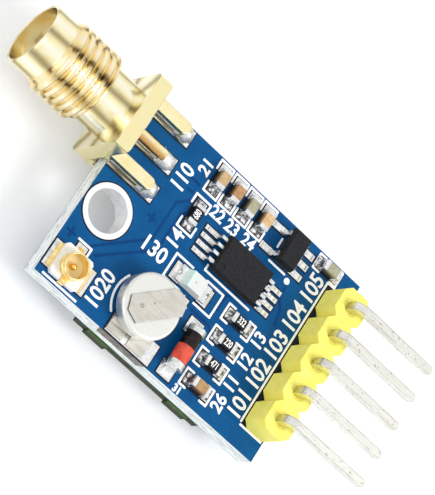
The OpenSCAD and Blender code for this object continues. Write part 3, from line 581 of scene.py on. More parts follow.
@dataclass(frozen=True)
class RingedBase(Finish):
    """White moulding with a painted reflection of the gold ring on the floor inside it."""

    # Painted reflection: warm gold on the white floor inside the gold ring.
    gilt: Colour = ink(246, 224, 168)
    middle: Point = (2.06, 1.74)
    ring: Point = (0.9, 0.86)

    def colour(self, graph: Graph, mottle: Field) -> Setting:
        """White outside the ring, with the painted gold reflection inside it.

        Args:
            graph: The material's nodes.
            mottle: The fine mottle.

        Returns:
            The colour over the surface.
        """
        x, y, _ = graph.place()
        reach = (x - self.middle[0]).hypot(y - self.middle[1])
        # Painted gold reflection inside the ring.
        return graph.mix(reach.rise(*self.ring), super().colour(graph, mottle), self.gilt)


@dataclass(frozen=True)
class BandedGlass(Finish):
    """Tinted glass with a dark band over its far half, and brown painted reflections in the band."""

    band: Colour = ink(5, 3, 3)
    # Painted reflections: brown clouds in the dark band.
    tint: Colour = ink(62, 32, 18)
    tint_share: float = 0.6
    cloud_size: float = 0.5
    cloud_stretch: Triple = (1.0, 0.5, 1.0)
    cloud_fall: float = 3.0
    border: Point = (2.79, 2.91)

    def colour(self, graph: Graph, mottle: Field) -> Setting:
        """Red glass up to the border, and beyond it a dark band with brown painted reflections.

        Args:
            graph: The material's nodes.
            mottle: The fine mottle.

        Returns:
            The colour over the surface.
        """
        # Brown painted reflections in the dark band.
        reflection_clouds = graph.noise(self.cloud_size, self.cloud_stretch, Pattern.CLOUDS) ** self.cloud_fall
        band = graph.mix(reflection_clouds * self.tint_share, self.band, self.tint)
        return graph.mix(graph.place()[1].rise(*self.border), super().colour(graph, mottle), band)


@dataclass(frozen=True)
class WeldedStrip(Finish):
    """Stamped strip with painted shade on its side faces and round weld marks on its top face."""

    # Painted shade on the strip's side faces, between the cell's top and the strip's top face.
    cut: Colour = ink(58, 54, 50)
    cut_span: Point = (1.615, 1.71)
    cut_fade: float = 0.02
    weld: Colour = ink(126, 120, 110)
    weld_share: float = 0.7
    weld_ring: Point = (0.5, 1.3)
    weld_fade: float = 0.5
    welds: Tuple[Triple, ...] = ((7.49, 2.59, 0.13), (8.2, 3.38, 0.07), (8.49, 3.66, 0.05))

    def colour(self, graph: Graph, mottle: Field) -> Setting:
        """Dull strip, ringed at the welds, with painted shade on its side faces over the cell.

        Args:
            graph: The material's nodes.
            mottle: The fine mottle.

        Returns:
            The colour over the surface.
        """
        x, y, z = graph.place()
        strip = super().colour(graph, mottle)
        for across, along, radius in self.welds:
            inner, outer = [radius * share for share in self.weld_ring]
            ring = (x - across).hypot(y - along).within(inner, outer, radius * self.weld_fade)
            strip = graph.mix(ring * self.weld_share, strip, self.weld)
        # Painted shade on the side faces, by height.
        return graph.mix(z.within(*self.cut_span, self.cut_fade), strip, self.cut)


@dataclass(frozen=True)
class SpeckledWire(Finish):
    """Tinned wire with small brown specks where the tin is thin, and painted shade along its long edges."""

    speck: Colour = ink(142, 122, 98)
    speck_share: float = 0.7
    speck_size: float = 0.16
    speck_stretch: Triple = (2.0, 1.0, 1.0)
    speck_range: Point = (0.9, 0.99)
    # Painted shade along each pin's long edges.
    worn: Colour = ink(138, 134, 126)
    worn_share: float = 0.6
    worn_break: float = 0.6
    worn_span: Point = (0.25, 0.31)
    worn_fade: float = 0.02
    first: float = 2.92
    pitch: float = 2.54

    def colour(self, graph: Graph, mottle: Field) -> Setting:
        """Pale tin with a few specks, and painted shade along the long edges.

        Args:
            graph: The material's nodes.
            mottle: The fine mottle.

        Returns:
            The colour over the surface.
        """
        specks = graph.noise(self.speck_size, self.speck_stretch, Pattern.SPECKS).rise(*self.speck_range)
        row = graph.place()[1] - self.first + self.pitch * 1.5
        across = abs(row.math("MODULO", row, self.pitch) - self.pitch / 2)
        # Painted shade near the long edges, broken up by the mottle.
        worn = across.within(*self.worn_span, self.worn_fade) * (1 - mottle * self.worn_break)
        layers = (worn * self.worn_share, self.worn), (specks * self.speck_share, self.speck)
        return graph.layer(super().colour(graph, mottle), *layers)


@dataclass(frozen=True)
class MilkyLens(Finish):
    """Milky resin with a cool tint at one end."""

    tint: Colour = ink(196, 242, 230)
    tint_share: float = 0.8
    tint_break: float = 0.7
    tint_span: Point = (10.23, 9.825)
    die: Colour = ink(128, 126, 124)
    die_share: float = 0.8
    die_place: Point = (10.35, 7.0)
    die_edge: Point = (0.09, 0.045)

    def colour(self, graph: Graph, mottle: Field) -> Setting:
        """White resin, tinted at one end, with the small dark die showing through.

        Args:
            graph: The material's nodes.
            mottle: The fine mottle.

        Returns:
            The colour over the surface.
        """
        x, y, _ = graph.place()
        end = x.rise(*self.tint_span) * (1 - mottle * self.tint_break)
        die = (x - self.die_place[0]).hypot(y - self.die_place[1]).rise(*self.die_edge)
        return graph.layer(self.light, (end * self.tint_share, self.tint), (die * self.die_share, self.die))


class Slot(Enum):
    """The record's material slots."""

    BOARD = "board_blue"
    TIN = "tin"
    GOLD = "gold"
    WHITE = "white_plastic"
    CELL = "cell_steel"
    TAB = "tab_nickel"
    DIODE = "diode_glass"
    LENS = "lamp_lens"
    CHIP = "chip_black"
    RESISTOR = "resistor_black"
    TAN = "capacitor_tan"
    BROWN = "capacitor_brown"
    KHAKI = "capacitor_khaki"
    HEADER = "header_yellow"
    PIN = "pin_tin"
    CARRIER = "carrier_green"
    SHIELD = "shield_steel"
    CRYSTAL = "crystal_case"


FINISHES: Dict[Slot, Finish] = {
    Slot.BOARD: MaskedLaminate("blue_solder_mask", ink(8, 85, 141), ink(0, 77, 133), (0.24, 0.36), 1.6,
                               shine=0.12, relief=0.005, relief_grain=0.9, edge=0.02),
    Slot.TIN: Finish("bright_tin", ink(246, 246, 244), ink(208, 210, 212), (0.16, 0.36), 0.35,
                     metal=1.0, relief=0.006, relief_grain=0.3),
    Slot.GOLD: TurnedGold("pale_gold_plate", ink(255, 246, 200), ink(250, 233, 174), (0.12, 0.26), 0.8,
                          metal=1.0, relief=0.002, relief_grain=0.25, edge=0.12),
    Slot.WHITE: Finish("white_moulding", ink(248, 247, 243), ink(232, 231, 227), (0.4, 0.55), 0.5),
    Slot.CELL: Finish("satin_steel", ink(228, 229, 224), ink(217, 217, 211), (0.3, 0.44), 0.9,
                      (6.0, 1.0, 1.0), metal=0.9, relief=0.003, edge=0.08),
    Slot.TAB: WeldedStrip("dull_nickel", ink(205, 202, 194), ink(188, 184, 175), (0.36, 0.5), 0.4,
                          (3.0, 1.0, 1.0), metal=0.85, relief=0.006),
    Slot.DIODE: BandedGlass("red_glass", ink(228, 94, 72), ink(204, 66, 48), (0.08, 0.16), 0.6, shine=0.3),
    # Painted glow: a faint emission brightens the milky resin.
    Slot.LENS: MilkyLens("milky_resin", ink(215, 218, 215), ink(206, 211, 209), (0.2, 0.36), 0.5,
                         shine=0.3, glow=0.1),
    Slot.CHIP: Finish("black_moulding", ink(34, 35, 37), ink(24, 25, 27), (0.55, 0.72), 0.1,
                      shine=0.2, relief=0.006, relief_grain=0.06),
    Slot.RESISTOR: Finish("black_glaze", ink(30, 30, 32), ink(16, 16, 18), (0.25, 0.4), 0.3, shine=0.3),
    Slot.TAN: CutCeramic("tan_ceramic", ink(206, 176, 132), ink(188, 154, 110)),
    Slot.BROWN: CutCeramic("brown_ceramic", ink(190, 148, 104), ink(172, 128, 84)),
    Slot.KHAKI: CutCeramic("khaki_ceramic", ink(176, 174, 147), ink(158, 156, 128)),
    Slot.HEADER: Finish("yellow_moulding", ink(255, 247, 124), ink(253, 240, 108), (0.38, 0.5), 0.8,
                        shine=0.3, relief=0.006, relief_grain=0.2, edge=0.08),
    Slot.PIN: SpeckledWire("tinned_wire", ink(233, 233, 226), ink(214, 213, 205), (0.26, 0.42), 0.5,
                           (5.0, 1.0, 1.0), metal=1.0, relief=0.006, edge=0.06),
    Slot.CARRIER: MaskedLaminate("green_solder_mask", ink(76, 106, 54), ink(58, 88, 42), (0.3, 0.45), 0.8,
                                 shine=0.3, core=ink(62, 66, 50), streak=ink(36, 42, 28), top=-1.66,
                                 bottom=-2.46),
    Slot.SHIELD: Finish("drawn_steel_sheet", ink(222, 224, 226), ink(198, 200, 202), (0.25, 0.4), 0.8,
                        (4.0, 1.0, 1.0), metal=1.0, edge=0.08),
    Slot.CRYSTAL: Finish("ceramic_case", ink(208, 200, 170), ink(186, 178, 150), (0.35, 0.5), 0.3),
}
SOLDER_FINISH = Finish("reflowed_solder", ink(246, 246, 243), ink(176, 177, 176), (0.3, 0.5), 0.5,
                       metal=0.85, relief=0.015, relief_grain=0.4, edge=0.06)
NODE_FINISHES: Dict[str, Finish] = {
    "capacitor_4": CutCeramic("orange_ceramic", ink(222, 190, 147), ink(204, 164, 114)),
    "capacitor_6": CutCeramic("buff_ceramic", ink(186, 150, 106), ink(166, 126, 84)),
    "hole_plating": Finish("hole_tin", ink(250, 250, 250), ink(234, 236, 238), (0.3, 0.45), 0.6, metal=0.5),
    # Pads with mottled painted shade round the small parts.
    "pads_top": FluxedSolder("tinned_pads", ink(246, 246, 244), ink(208, 210, 212), (0.16, 0.36), 0.35,
                             metal=1.0, relief=0.006, relief_grain=0.3),
    "micro_socket_base": RingedBase("ringed_moulding", ink(250, 249, 246), ink(236, 235, 231), (0.4, 0.55),
                                    0.5),
    "micro_socket_shell": Finish("deep_gold_plate", ink(254, 235, 176), ink(242, 208, 128), (0.12, 0.26), 0.4,
                                 metal=1.0, edge=0.04),
    "micro_socket_pin": Finish("orange_gold_plate", ink(250, 206, 116), ink(232, 172, 78), (0.14, 0.28), 0.2,
                               metal=1.0),
    # Painted reflections of the gold legs: pale gold and dark brown streaks along the solder fillets.
    "antenna_jack_joints": Finish("solder_painted_gold_reflections", ink(246, 238, 208), ink(96, 82, 56), (0.25, 0.45), 0.16,
                                  (14.0, 1.0, 1.0), metal=0.9, relief=0.01, relief_grain=0.3, edge=0.05),
    "chip_joints": FluxedSolder("solder_painted_shade", ink(252, 252, 250), ink(218, 219, 219), (0.22, 0.4), 0.4,
                                metal=0.9, relief=0.01, relief_grain=0.3),
    "header_joints": SOLDER_FINISH,
    "receiver_joints": SOLDER_FINISH,
}
# Painted glow: a faint emission keeps the ink white where light bounced from the yellow header would tint it.
PRINT_FINISH = Finish("white_ink", ink(255, 255, 255), ink(248, 248, 247), (0.5, 0.65), 0.2,
                      glow=0.1, relief=0.003, edge=0.0)
TRACE_FINISH = Finish("masked_copper", ink(0, 68, 126), ink(0, 58, 112), (0.24, 0.36), 1.2,
                      shine=0.12, edge=0.0)
STRIP_FINISH = Finish("dark_edge_strip", ink(134, 129, 120), ink(104, 99, 91), (0.36, 0.52), 0.5, metal=0.6)
# Dark bare laminate, also used for the plates of painted shade.
GAP_FINISH = Finish("bare_laminate_and_painted_shade", ink(20, 34, 54), ink(10, 22, 40), (0.5, 0.7), 0.3, shine=0.2, edge=0.0)


class CadDress:
    """Gives every CAD node its finish."""

    @staticmethod
    def dress() -> None:
        """Sets the material of each node, from a finish of its own or from its slot in the record."""
        for part in frame["record"]["subparts"]:
            node, slot = part["node"], Slot(part["material_slot"])
            material = NODE_FINISHES.get(node, FINISHES[slot]).build()
            for place in frame["nodes"][node].material_slots:
                place.material = material
            LOG.info("node %s: %s", node, material.name)


class Bench:
    """Steps that the modelled pieces share."""

    @staticmethod
    def clear() -> None:
        """Leaves edit mode and deselects everything."""
        if bpy.context.object and bpy.context.object.mode != "OBJECT":
            bpy.ops.object.mode_set(mode="OBJECT")
        bpy.ops.object.select_all(action="DESELECT")

    @staticmethod
    def pick(part: Piece) -> None:
        """Selects one part alone and makes it the active one.

        Args:
            part: The part.
        """
        Bench.clear()
        part.select_set(True)
        bpy.context.view_layer.objects.active = part

    @staticmethod
    @contextmanager
    def editing() -> Iterator[None]:
        """Holds the active part in edit mode, with its whole mesh selected at first.

        Yields:
            Nothing: the steps inside the block work on the part.
        """
        bpy.ops.object.mode_set(mode="EDIT")
        bpy.ops.mesh.select_all(action="SELECT")
        yield
        bpy.ops.object.mode_set(mode="OBJECT")

    @staticmethod
    def join(parts: Sequence[Piece], name: str) -> Piece:
        """Joins parts into one piece.

        Args:
            parts: The parts, each with its place in its mesh.
            name: Name of the piece.

        Returns:
            The joined piece.
        """
        Bench.pick(parts[0])
        for part in parts:
            part.select_set(True)
        bpy.ops.object.join()
        parts[0].name = parts[0].data.name = name
        return parts[0]

    @staticmethod
    def copy(pattern: Piece) -> Piece:
        """Copies a modelled part.

        Args:
            pattern: The part that is copied.

        Returns:
            The copy, with a mesh of its own.
        """
        twin = pattern.copy()
        twin.data = pattern.data.copy()
        bpy.context.scene.collection.objects.link(twin)
        return twin

    @staticmethod
    def lay(pattern: Piece, berths: Sequence[Berth]) -> List[Piece]:
        """Lays copies of a pattern at their places, and removes the pattern.

        The halves of each copy's mesh move apart, so that its rounded corners keep their size.

        Args:
            pattern: The part that is copied, with its middle at the origin.
            berths: For each copy, how far its halves move along X and along Y, in millimetres, and its place.

        Returns:
            The copies.
        """
        copies = []
        for along, across, place in berths:
            twin = Bench.copy(pattern)
            for vertex in twin.data.vertices:
                vertex.co.x += math.copysign(along * MM, vertex.co.x)
                vertex.co.y += math.copysign(across * MM, vertex.co.y)
            twin.data.transform(place)
            copies.append(twin)
        bpy.data.objects.remove(pattern)
        return copies


class AddedPiece:
    """A modelled piece with its name, its slot and its finish."""

    name: ClassVar[str]
    slot: ClassVar[Slot]
    finish: ClassVar[Finish]

    def build(self) -> Piece:
        """Models the piece under its name, with its place in its mesh."""
        raise NotImplementedError

    def dress(self, piece: Piece) -> None:
        """Gives the modelled piece its finish and its body, and reports it with its slot.

        Args:
            piece: The modelled piece.
        """
        piece.data.materials.clear()
        piece.data.materials.append(self.finish.build())
        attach(piece, ROOT)
        LOG.info("piece %s: %d faces, %s", piece.name, len(piece.data.polygons), self.slot.value)


@dataclass(frozen=True)
class StrokePen:
    """Draws flat strokes with round ends on the board."""

    width: float
    thickness: float
    sides: int = 8
    bevel_share: float = 0.4
    step: float = 0.002

    def nib(self) -> Piece:
        """Models one round dot with eased edges, from which each stroke is stretched.

        Returns:
            The dot, centred on the origin with its underside at zero height.
        """
        Bench.clear()
        height = self.thickness * MM
        turn = math.pi / self.sides
        bpy.ops.mesh.primitive_cylinder_add(vertices=self.sides, radius=self.width / 2 * MM, depth=height,
                                            location=(0, 0, height / 2), rotation=(0, 0, turn))
        bpy.ops.object.transform_apply(location=True, rotation=True, scale=True)
        with Bench.editing():
            bpy.ops.mesh.bevel(offset=height * self.bevel_share, segments=1, affect="EDGES")
        return bpy.context.object

    @staticmethod
    def berth(start: Vector, end: Vector, level: float) -> Berth:
        """Finds how one stroke is laid.

        Args:
            start: First end, in board millimetres.
            end: Second end, in board millimetres.
            level: Height over the board's top face, in millimetres.

        Returns:
            The stroke's stretch and its place.
        """
        span, middle = end - start, (start + end) / 2
        turn = Matrix.Rotation(math.atan2(span.y, span.x), 4, "Z")
        return span.length / 2, 0.0, Matrix.Translation(BOARD.at(middle.x, middle.y, level)) @ turn

    def draw(self, lines: Sequence[Line], name: str) -> Piece:
        """Draws broken lines as one piece, whose crossing strokes lie a small step apart.

        Args:
            lines: The lines, each a row of places in board millimetres.
            name: Name of the piece.

        Returns:
            The piece.
        """
        berths = []
        for row, line in enumerate(lines):
            for k, (start, end) in enumerate(zip(line, line[1:])):
                berths.append(self.berth(Vector(start), Vector(end), self.step * ((row + k) % 2)))
        return Bench.join(Bench.lay(self.nib(), berths), name)


class Reading(Enum):
    """Which way a number or an outline lies on the board, as its turn in degrees."""

    ALONG = 0.0
    ACROSS = 90.0


@dataclass(frozen=True)
class Number:
    """A plain printed number."""

    digits: str
    place: Point
    reading: Reading
    tall: float = 1.0
    level: float = 0.0
    bold: float = 0.035
    narrow: float = 0.92
    cap_share: float = 0.7
    curve_steps: int = 3

    def build(self, thickness: float) -> Piece:
        """Sets the number in type and makes it a mesh on the board.

        Args:
            thickness: Thickness of the ink, in millimetres.

        Returns:
            The number's mesh.
        """
        Bench.clear()
        bpy.ops.object.text_add()
        letters = bpy.context.object.data
        letters.body = self.digits
        letters.size = self.tall / self.cap_share
        letters.align_x = "CENTER"
        letters.align_y = "CENTER"
        letters.offset = self.bold
        letters.extrude = thickness / 2
        letters.resolution_u = self.curve_steps
        bpy.ops.object.convert(target="MESH")
        number = bpy.context.object
        turn = Matrix.Rotation(math.radians(self.reading.value), 4, "Z")
        place = Matrix.Translation(BOARD.at(*self.place, self.level + thickness / 2))
        number.data.transform(place @ turn @ Matrix.Diagonal((self.narrow * MM, MM, MM, 1.0)))
        return number


@dataclass(frozen=True)
class BoardPrint(AddedPiece):
    """White ink on the board: outlines round the parts and plain numbers."""

    name: ClassVar[str] = "board_print"
    slot: ClassVar[Slot] = Slot.WHITE
    finish: ClassVar[Finish] = PRINT_FINISH

    thickness: float = 0.02
    number_thickness: float = 0.026
    line: float = 0.19
    ring_line: float = 0.2
    lamp: Point = (10.68, 7.07)
    lamp_half: Point = (2.4, 1.0)
    lamp_arm: float = 1.65
    lone_half: Point = (0.72, 1.43)
    row_first: Point = (7.88, 14.45)
    row_pitch: float = 1.54
    row_count: int = 4
    row_half: Point = (0.64, 1.36)
    row_arm: float = 0.75
    chips: Tuple[Point, ...] = (*RESISTOR_COLUMN, (15.17, 1.5))
    chip_half: Point = (1.37, 0.66)
    chip_arm: float = 0.62
    far_chip: Point = (19.05, 15.18)
    far_half: Point = (1.2, 0.62)
    far_arm: float = 0.6
    loose_lines: Tuple[Tuple[Point, ...], ...] = (
        ((14.61, 12.55), (16.24, 12.55)),
        ((14.6, 14.5), (14.6, 13.78)),
        ((0.67, 0.2), (3.86, 0.2)),
        ((1.5, 3.86), (2.72, 3.86), (2.72, 3.25)),
        ((10.78, 9.0), (10.78, 8.57), (15.34, 8.57)),
        ((19.58, 1.85), (19.58, 14.45), (20.3, 14.45)),
        ((19.68, 1.6), (21.8, 1.6)),
    )
    cell: Point = (8.3, 3.1)
    cell_ring: float = 2.46
    arcs: Tuple[Tuple[float, float, int], ...] = ((150, 222, 8), (290, 325, 4))
    dot: Tuple[Point, Point] = ((16.7, 12.28), (16.71, 12.28))
    dot_width: float = 0.5
    dot_sides: int = 24
    numbers: Tuple[Number, ...] = (
        Number("110", (5.45, 12.62), Reading.ACROSS, 1.2, narrow=0.84),
        Number("1020", (4.92, 2.1), Reading.ACROSS, 1.2, narrow=0.88),
        Number("130", (6.61, 7.04), Reading.ALONG, 1.2),
        Number("21", (6.54, 14.52), Reading.ACROSS, 0.95),
        Number("22", (9.24, 12.38), Reading.ALONG, 0.95),
        Number("23", (10.78, 12.36), Reading.ALONG, 0.95),
        Number("24", (12.43, 12.4), Reading.ALONG, 0.95),
        Number("14", (7.56, 8.77), Reading.ACROSS, 1.1),
        Number("31", (13.98, 0.33), Reading.ALONG, 0.56),
        Number("26", (17.35, 1.7), Reading.ACROSS),
        Number("11", (17.38, 3.45), Reading.ACROSS),
        Number("12", (17.38, 5.38), Reading.ACROSS),
        Number("13", (17.38, 7.31), Reading.ACROSS),
    )
    pin_first: int = 101
    pin_count: int = 5
    pin_place: Point = (18.78, 2.75)
    pin_pitch: float = 2.62
    pin_tall: float = 1.25
    pin_narrow: float = 0.88

    @staticmethod
    def brackets(middle: Point, half: Point, arm: float, reading: Reading) -> List[Line]:
        """Draws two facing brackets round a part.

        Args:
            middle: Middle of the part.
            half: Half of the outline's size along and across the board.
            arm: Length of the brackets' arms.
            reading: Whether the brackets stand at the ends along or across the board.

        Returns:
            The brackets as broken lines.
        """
        lines = []
        way, other = (0, 1) if reading is Reading.ALONG else (1, 0)
        low, high = middle[other] - half[other], middle[other] + half[other]
        for side in (-1, 1):
            end, inner = middle[way] + side * half[way], middle[way] + side * (half[way] - arm)
            line = [(inner, low), (end, low), (end, high), (inner, high)]
            lines.append([(spot[way], spot[other]) for spot in line])
        return lines

    def arc(self, first: float, last: float, steps: int) -> Line:
        """Draws part of the ring round the cell.

        Args:
            first: Angle of its first end, in degrees.
            last: Angle of its last end, in degrees.
            steps: Number of strokes.

        Returns:
            The arc as a broken line.
        """
        turns = [math.radians(first + (last - first) * k / steps) for k in range(steps + 1)]
        along, across = self.cell
        return [(along + self.cell_ring * math.cos(turn), across + self.cell_ring * math.sin(turn))
                for turn in turns]

    def outlines(self) -> List[Line]:
        """Collects the outlines round the parts and the loose lines.

        Returns:
            All of them, in board millimetres.
        """
        first, across = self.row_first
        row = [(first + k * self.row_pitch, across) for k in range(self.row_count)]
        parts = [(self.lamp, self.lamp_half, self.lamp_arm, Reading.ALONG),
                 (LONE_RESISTOR, self.lone_half, self.row_arm, Reading.ACROSS)]
        parts += [(place, self.row_half, self.row_arm, Reading.ACROSS) for place in row]
        parts += [(place, self.chip_half, self.chip_arm, Reading.ALONG) for place in self.chips]
        parts.append((self.far_chip, self.far_half, self.far_arm, Reading.ALONG))
        return [line for part in parts for line in self.brackets(*part)] + list(self.loose_lines)

    def pin_numbers(self) -> List[Number]:
        """Numbers the header's pins.

        Returns:
            One number beside each pin.
        """
        along, first = self.pin_place
        places = [(along, first + k * self.pin_pitch) for k in range(self.pin_count)]
        return [Number(str(digits), place, Reading.ACROSS, self.pin_tall, narrow=self.pin_narrow)
                for digits, place in enumerate(places, self.pin_first)]

    def build(self) -> Piece:
        """Draws the outlines, the ring, the dot and the numbers.

        Returns:
            The print as one piece.
        """
        ring = [self.arc(*span) for span in self.arcs]
        parts = [
            StrokePen(self.line, self.thickness).draw(self.outlines(), "outlines"),
            StrokePen(self.ring_line, self.thickness).draw(ring, "ring"),
            StrokePen(self.dot_width, self.thickness, self.dot_sides).draw([self.dot], "dot"),
        ]
        parts += [number.build(self.number_thickness) for number in (*self.numbers, *self.pin_numbers())]
        return Bench.join(parts, self.name)


@dataclass(frozen=True)
class ResistorMarks(AddedPiece):
    """White value numbers on the resistors' glaze."""

    name: ClassVar[str] = "resistor_marks"
    slot: ClassVar[Slot] = Slot.WHITE
    finish: ClassVar[Finish] = PRINT_FINISH

    thickness: float = 0.01
    top: float = 0.49
    tall: float = 0.52
    bold: float = 0.012
    narrow: float = 0.62
    column_values: Tuple[str, ...] = ("471", "220", "332")
    lone_value: str = "680"

    def build(self) -> Piece:
        """Sets one number on each resistor.

        Returns:
            The numbers as one piece.
        """
        values = [(value, place, Reading.ALONG) for value, place in zip(self.column_values, RESISTOR_COLUMN)]
        values.append((self.lone_value, LONE_RESISTOR, Reading.ACROSS))
        numbers = [Number(*value, self.tall, self.top, self.bold, self.narrow) for value in values]
        return Bench.join([number.build(self.thickness) for number in numbers], self.name)


@dataclass(frozen=True)
class CopperTraces(AddedPiece):
    """Copper lines that show through the solder mask."""

    name: ClassVar[str] = "copper_traces"
    slot: ClassVar[Slot] = Slot.BOARD
    finish: ClassVar[Finish] = TRACE_FINISH

    thickness: float = 0.012
    line: float = 0.22
    lines: Tuple[Tuple[Point, ...], ...] = (
        ((2.4, 3.9), (5.2, 6.7), (6.08, 7.58), (6.08, 10.9), (6.95, 11.8)),
        ((3.18, 3.7), (6.29, 6.62), (6.85, 7.2), (6.85, 10.45), (7.18, 10.77)),
        ((5.9, 13.18), (6.82, 13.12)),
        ((6.26, 12.28), (6.71, 12.37)),
        ((17.78, 9.06), (17.5, 10.2), (16.9, 11.0), (16.9, 11.9)),
        ((13.3, 6.9), (13.3, 8.2), (14.1, 8.9)),
        ((11.6, 5.6), (13.4, 5.6), (13.9, 5.1)),
        ((4.82, 8.75), (5.54, 8.75)),
        ((5.18, 8.39), (5.18, 9.11)),
        ((0.36, 3.87), (1.08, 3.87)),
        ((0.72, 3.51), (0.72, 4.23)),
    )

    def build(self) -> Piece:
        """Draws the lines as one piece."""
        return StrokePen(self.line, self.thickness).draw(self.lines, self.name)


@dataclass(frozen=True)
class MaskGaps(AddedPiece):
    """Bare laminate round the pads and the hole's ring, where the solder mask keeps clear of them, and dark
    plates of painted shade round the header's block and under the small parts.
    """

    name: ClassVar[str] = "mask_gaps_and_painted_shade"
    slot: ClassVar[Slot] = Slot.BOARD
    finish: ClassVar[Finish] = GAP_FINISH

    pads: str = "pads_top"
    ring: str = "hole_plating"
    # The rim round the header's block, and the plates under the small parts below, are painted shade.
    block: str = "header_block"
    windows: Tuple[str, ...] = (
        *(f"capacitor_{k}" for k in range(1, 7)),
        *(f"resistor_{k}" for k in range(1, 5)),
    )
    rim: float = 0.11
    window_rim: float = 0.22
    window_lift: float = 0.003
    thickness: float = 0.008
    corner: float = 0.1
    corner_round: float = 0.08
    corner_steps: int = 3
    ring_inset: float = 0.2
    ring_sides: int = 64

    def round_rim(self) -> Piece:
        """Models the rim round the mounting hole's plated ring.

        Returns:
            The rim, at its place.
        """
        low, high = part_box(self.ring)
        middle = (low + high) / 2
        outer = (high.x - low.x) / 2 + self.rim * MM
        inner = outer - (self.rim + self.ring_inset) * MM
        Bench.clear()
        bpy.ops.mesh.primitive_circle_add(vertices=self.ring_sides, radius=outer)
        with Bench.editing():
            bpy.ops.mesh.extrude_region_move()
            bpy.ops.transform.resize(value=(inner / outer, inner / outer, 1))
            bpy.ops.mesh.select_all(action="SELECT")
            bpy.ops.mesh.extrude_region_move(TRANSFORM_OT_translate={"value": (0, 0, self.thickness * MM)})
            bpy.ops.mesh.select_all(action="SELECT")
            bpy.ops.mesh.normals_make_consistent(inside=False)
        rim = bpy.context.object
        rim.data.transform(Matrix.Translation((middle.x, middle.y, BOARD.corner.z)))
        return rim

    def islands(self) -> List[Tuple[Vector, Vector]]:
        """Measures the separate pads.

        Returns:
            The low and high corners of each pad's box, in metres.
        """
        Bench.pick(Bench.copy(frame["nodes"][self.pads]))
        with Bench.editing():
            bpy.ops.mesh.remove_doubles(threshold=MERGE)
            bpy.ops.mesh.separate(type="LOOSE")
        boxes = []
        for pad in list(bpy.context.selected_objects):
            spots = [vertex.co for vertex in pad.data.vertices]
            low, high = [Vector([end(spot[axis] for spot in spots) for axis in range(3)])
                         for end in (min, max)]
            boxes.append((low, high))
            bpy.data.objects.remove(pad)
        return boxes

    def plate(self) -> Piece:
        """Models one small plate with rounded corners, from which each rim is stretched.

        Returns:
            The plate, centred on the origin.
        """
        Bench.clear()
        bpy.ops.mesh.primitive_cube_add(size=2 * self.corner * MM)
        with Bench.editing():
            bpy.ops.transform.resize(value=(1, 1, self.thickness / (2 * self.corner)))
            bpy.ops.mesh.select_mode(type="EDGE")
            bpy.ops.mesh.select_all(action="DESELECT")
        plate = bpy.context.object
        for edge in plate.data.edges:
            first, last = [plate.data.vertices[k].co for k in edge.vertices]
            edge.select = abs(first.z - last.z) > self.thickness * MM / 2
        bpy.ops.object.mode_set(mode="EDIT")
        bpy.ops.mesh.bevel(offset=self.corner_round * MM, segments=self.corner_steps, affect="EDGES")
        bpy.ops.object.mode_set(mode="OBJECT")
        return plate

    def berth(self, low: Vector, high: Vector, rim: float, lift: float) -> Berth:
        """Finds how the plate under one box is laid, cut off at the board's edges.

        Args:
            low: Low corner of the box, in metres.
            high: High corner of the box, in metres.
            rim: How far the plate reaches past the box, in millimetres.
            lift: Height of its underside over the board's top face, in millimetres.

        Returns:
            The plate's stretch and its place.
        """
        edge = BOARD.corner
        far = BOARD.at(BOARD.length, BOARD.width)
        left, near = max(low.x - rim * MM, edge.x), max(low.y - rim * MM, edge.y)
        right, back = min(high.x + rim * MM, far.x), min(high.y + rim * MM, far.y)
        middle = Vector(((left + right) / 2, (near + back) / 2, edge.z + (self.thickness / 2 + lift) * MM))
        along, across = (right - left) / 2 / MM, (back - near) / 2 / MM
        return along - self.corner, across - self.corner, Matrix.Translation(middle)

    def build(self) -> Piece:
        """Lays one plate under each pad, and plates of painted shade under the header's block and each small
        part.

        Returns:
            The plates and the hole's rim as one piece.
        """
        pattern = self.plate()
        rim = self.round_rim()
        # Rims round the pads are bare laminate; the rim round the header's block is painted shade.
        berths = [self.berth(*box, self.rim, 0.0) for box in (*self.islands(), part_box(self.block))]
        # Larger plates of painted shade under and between the small parts.
        berths += [self.berth(*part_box(node), self.window_rim, self.window_lift) for node in self.windows]
        return Bench.join([rim, *Bench.lay(pattern, berths)], self.name)


@dataclass(frozen=True)
class SolderDome:
    """A mound of solder at the end of one leg of the antenna jack."""

    place: Point
    half: Point
    tall: float


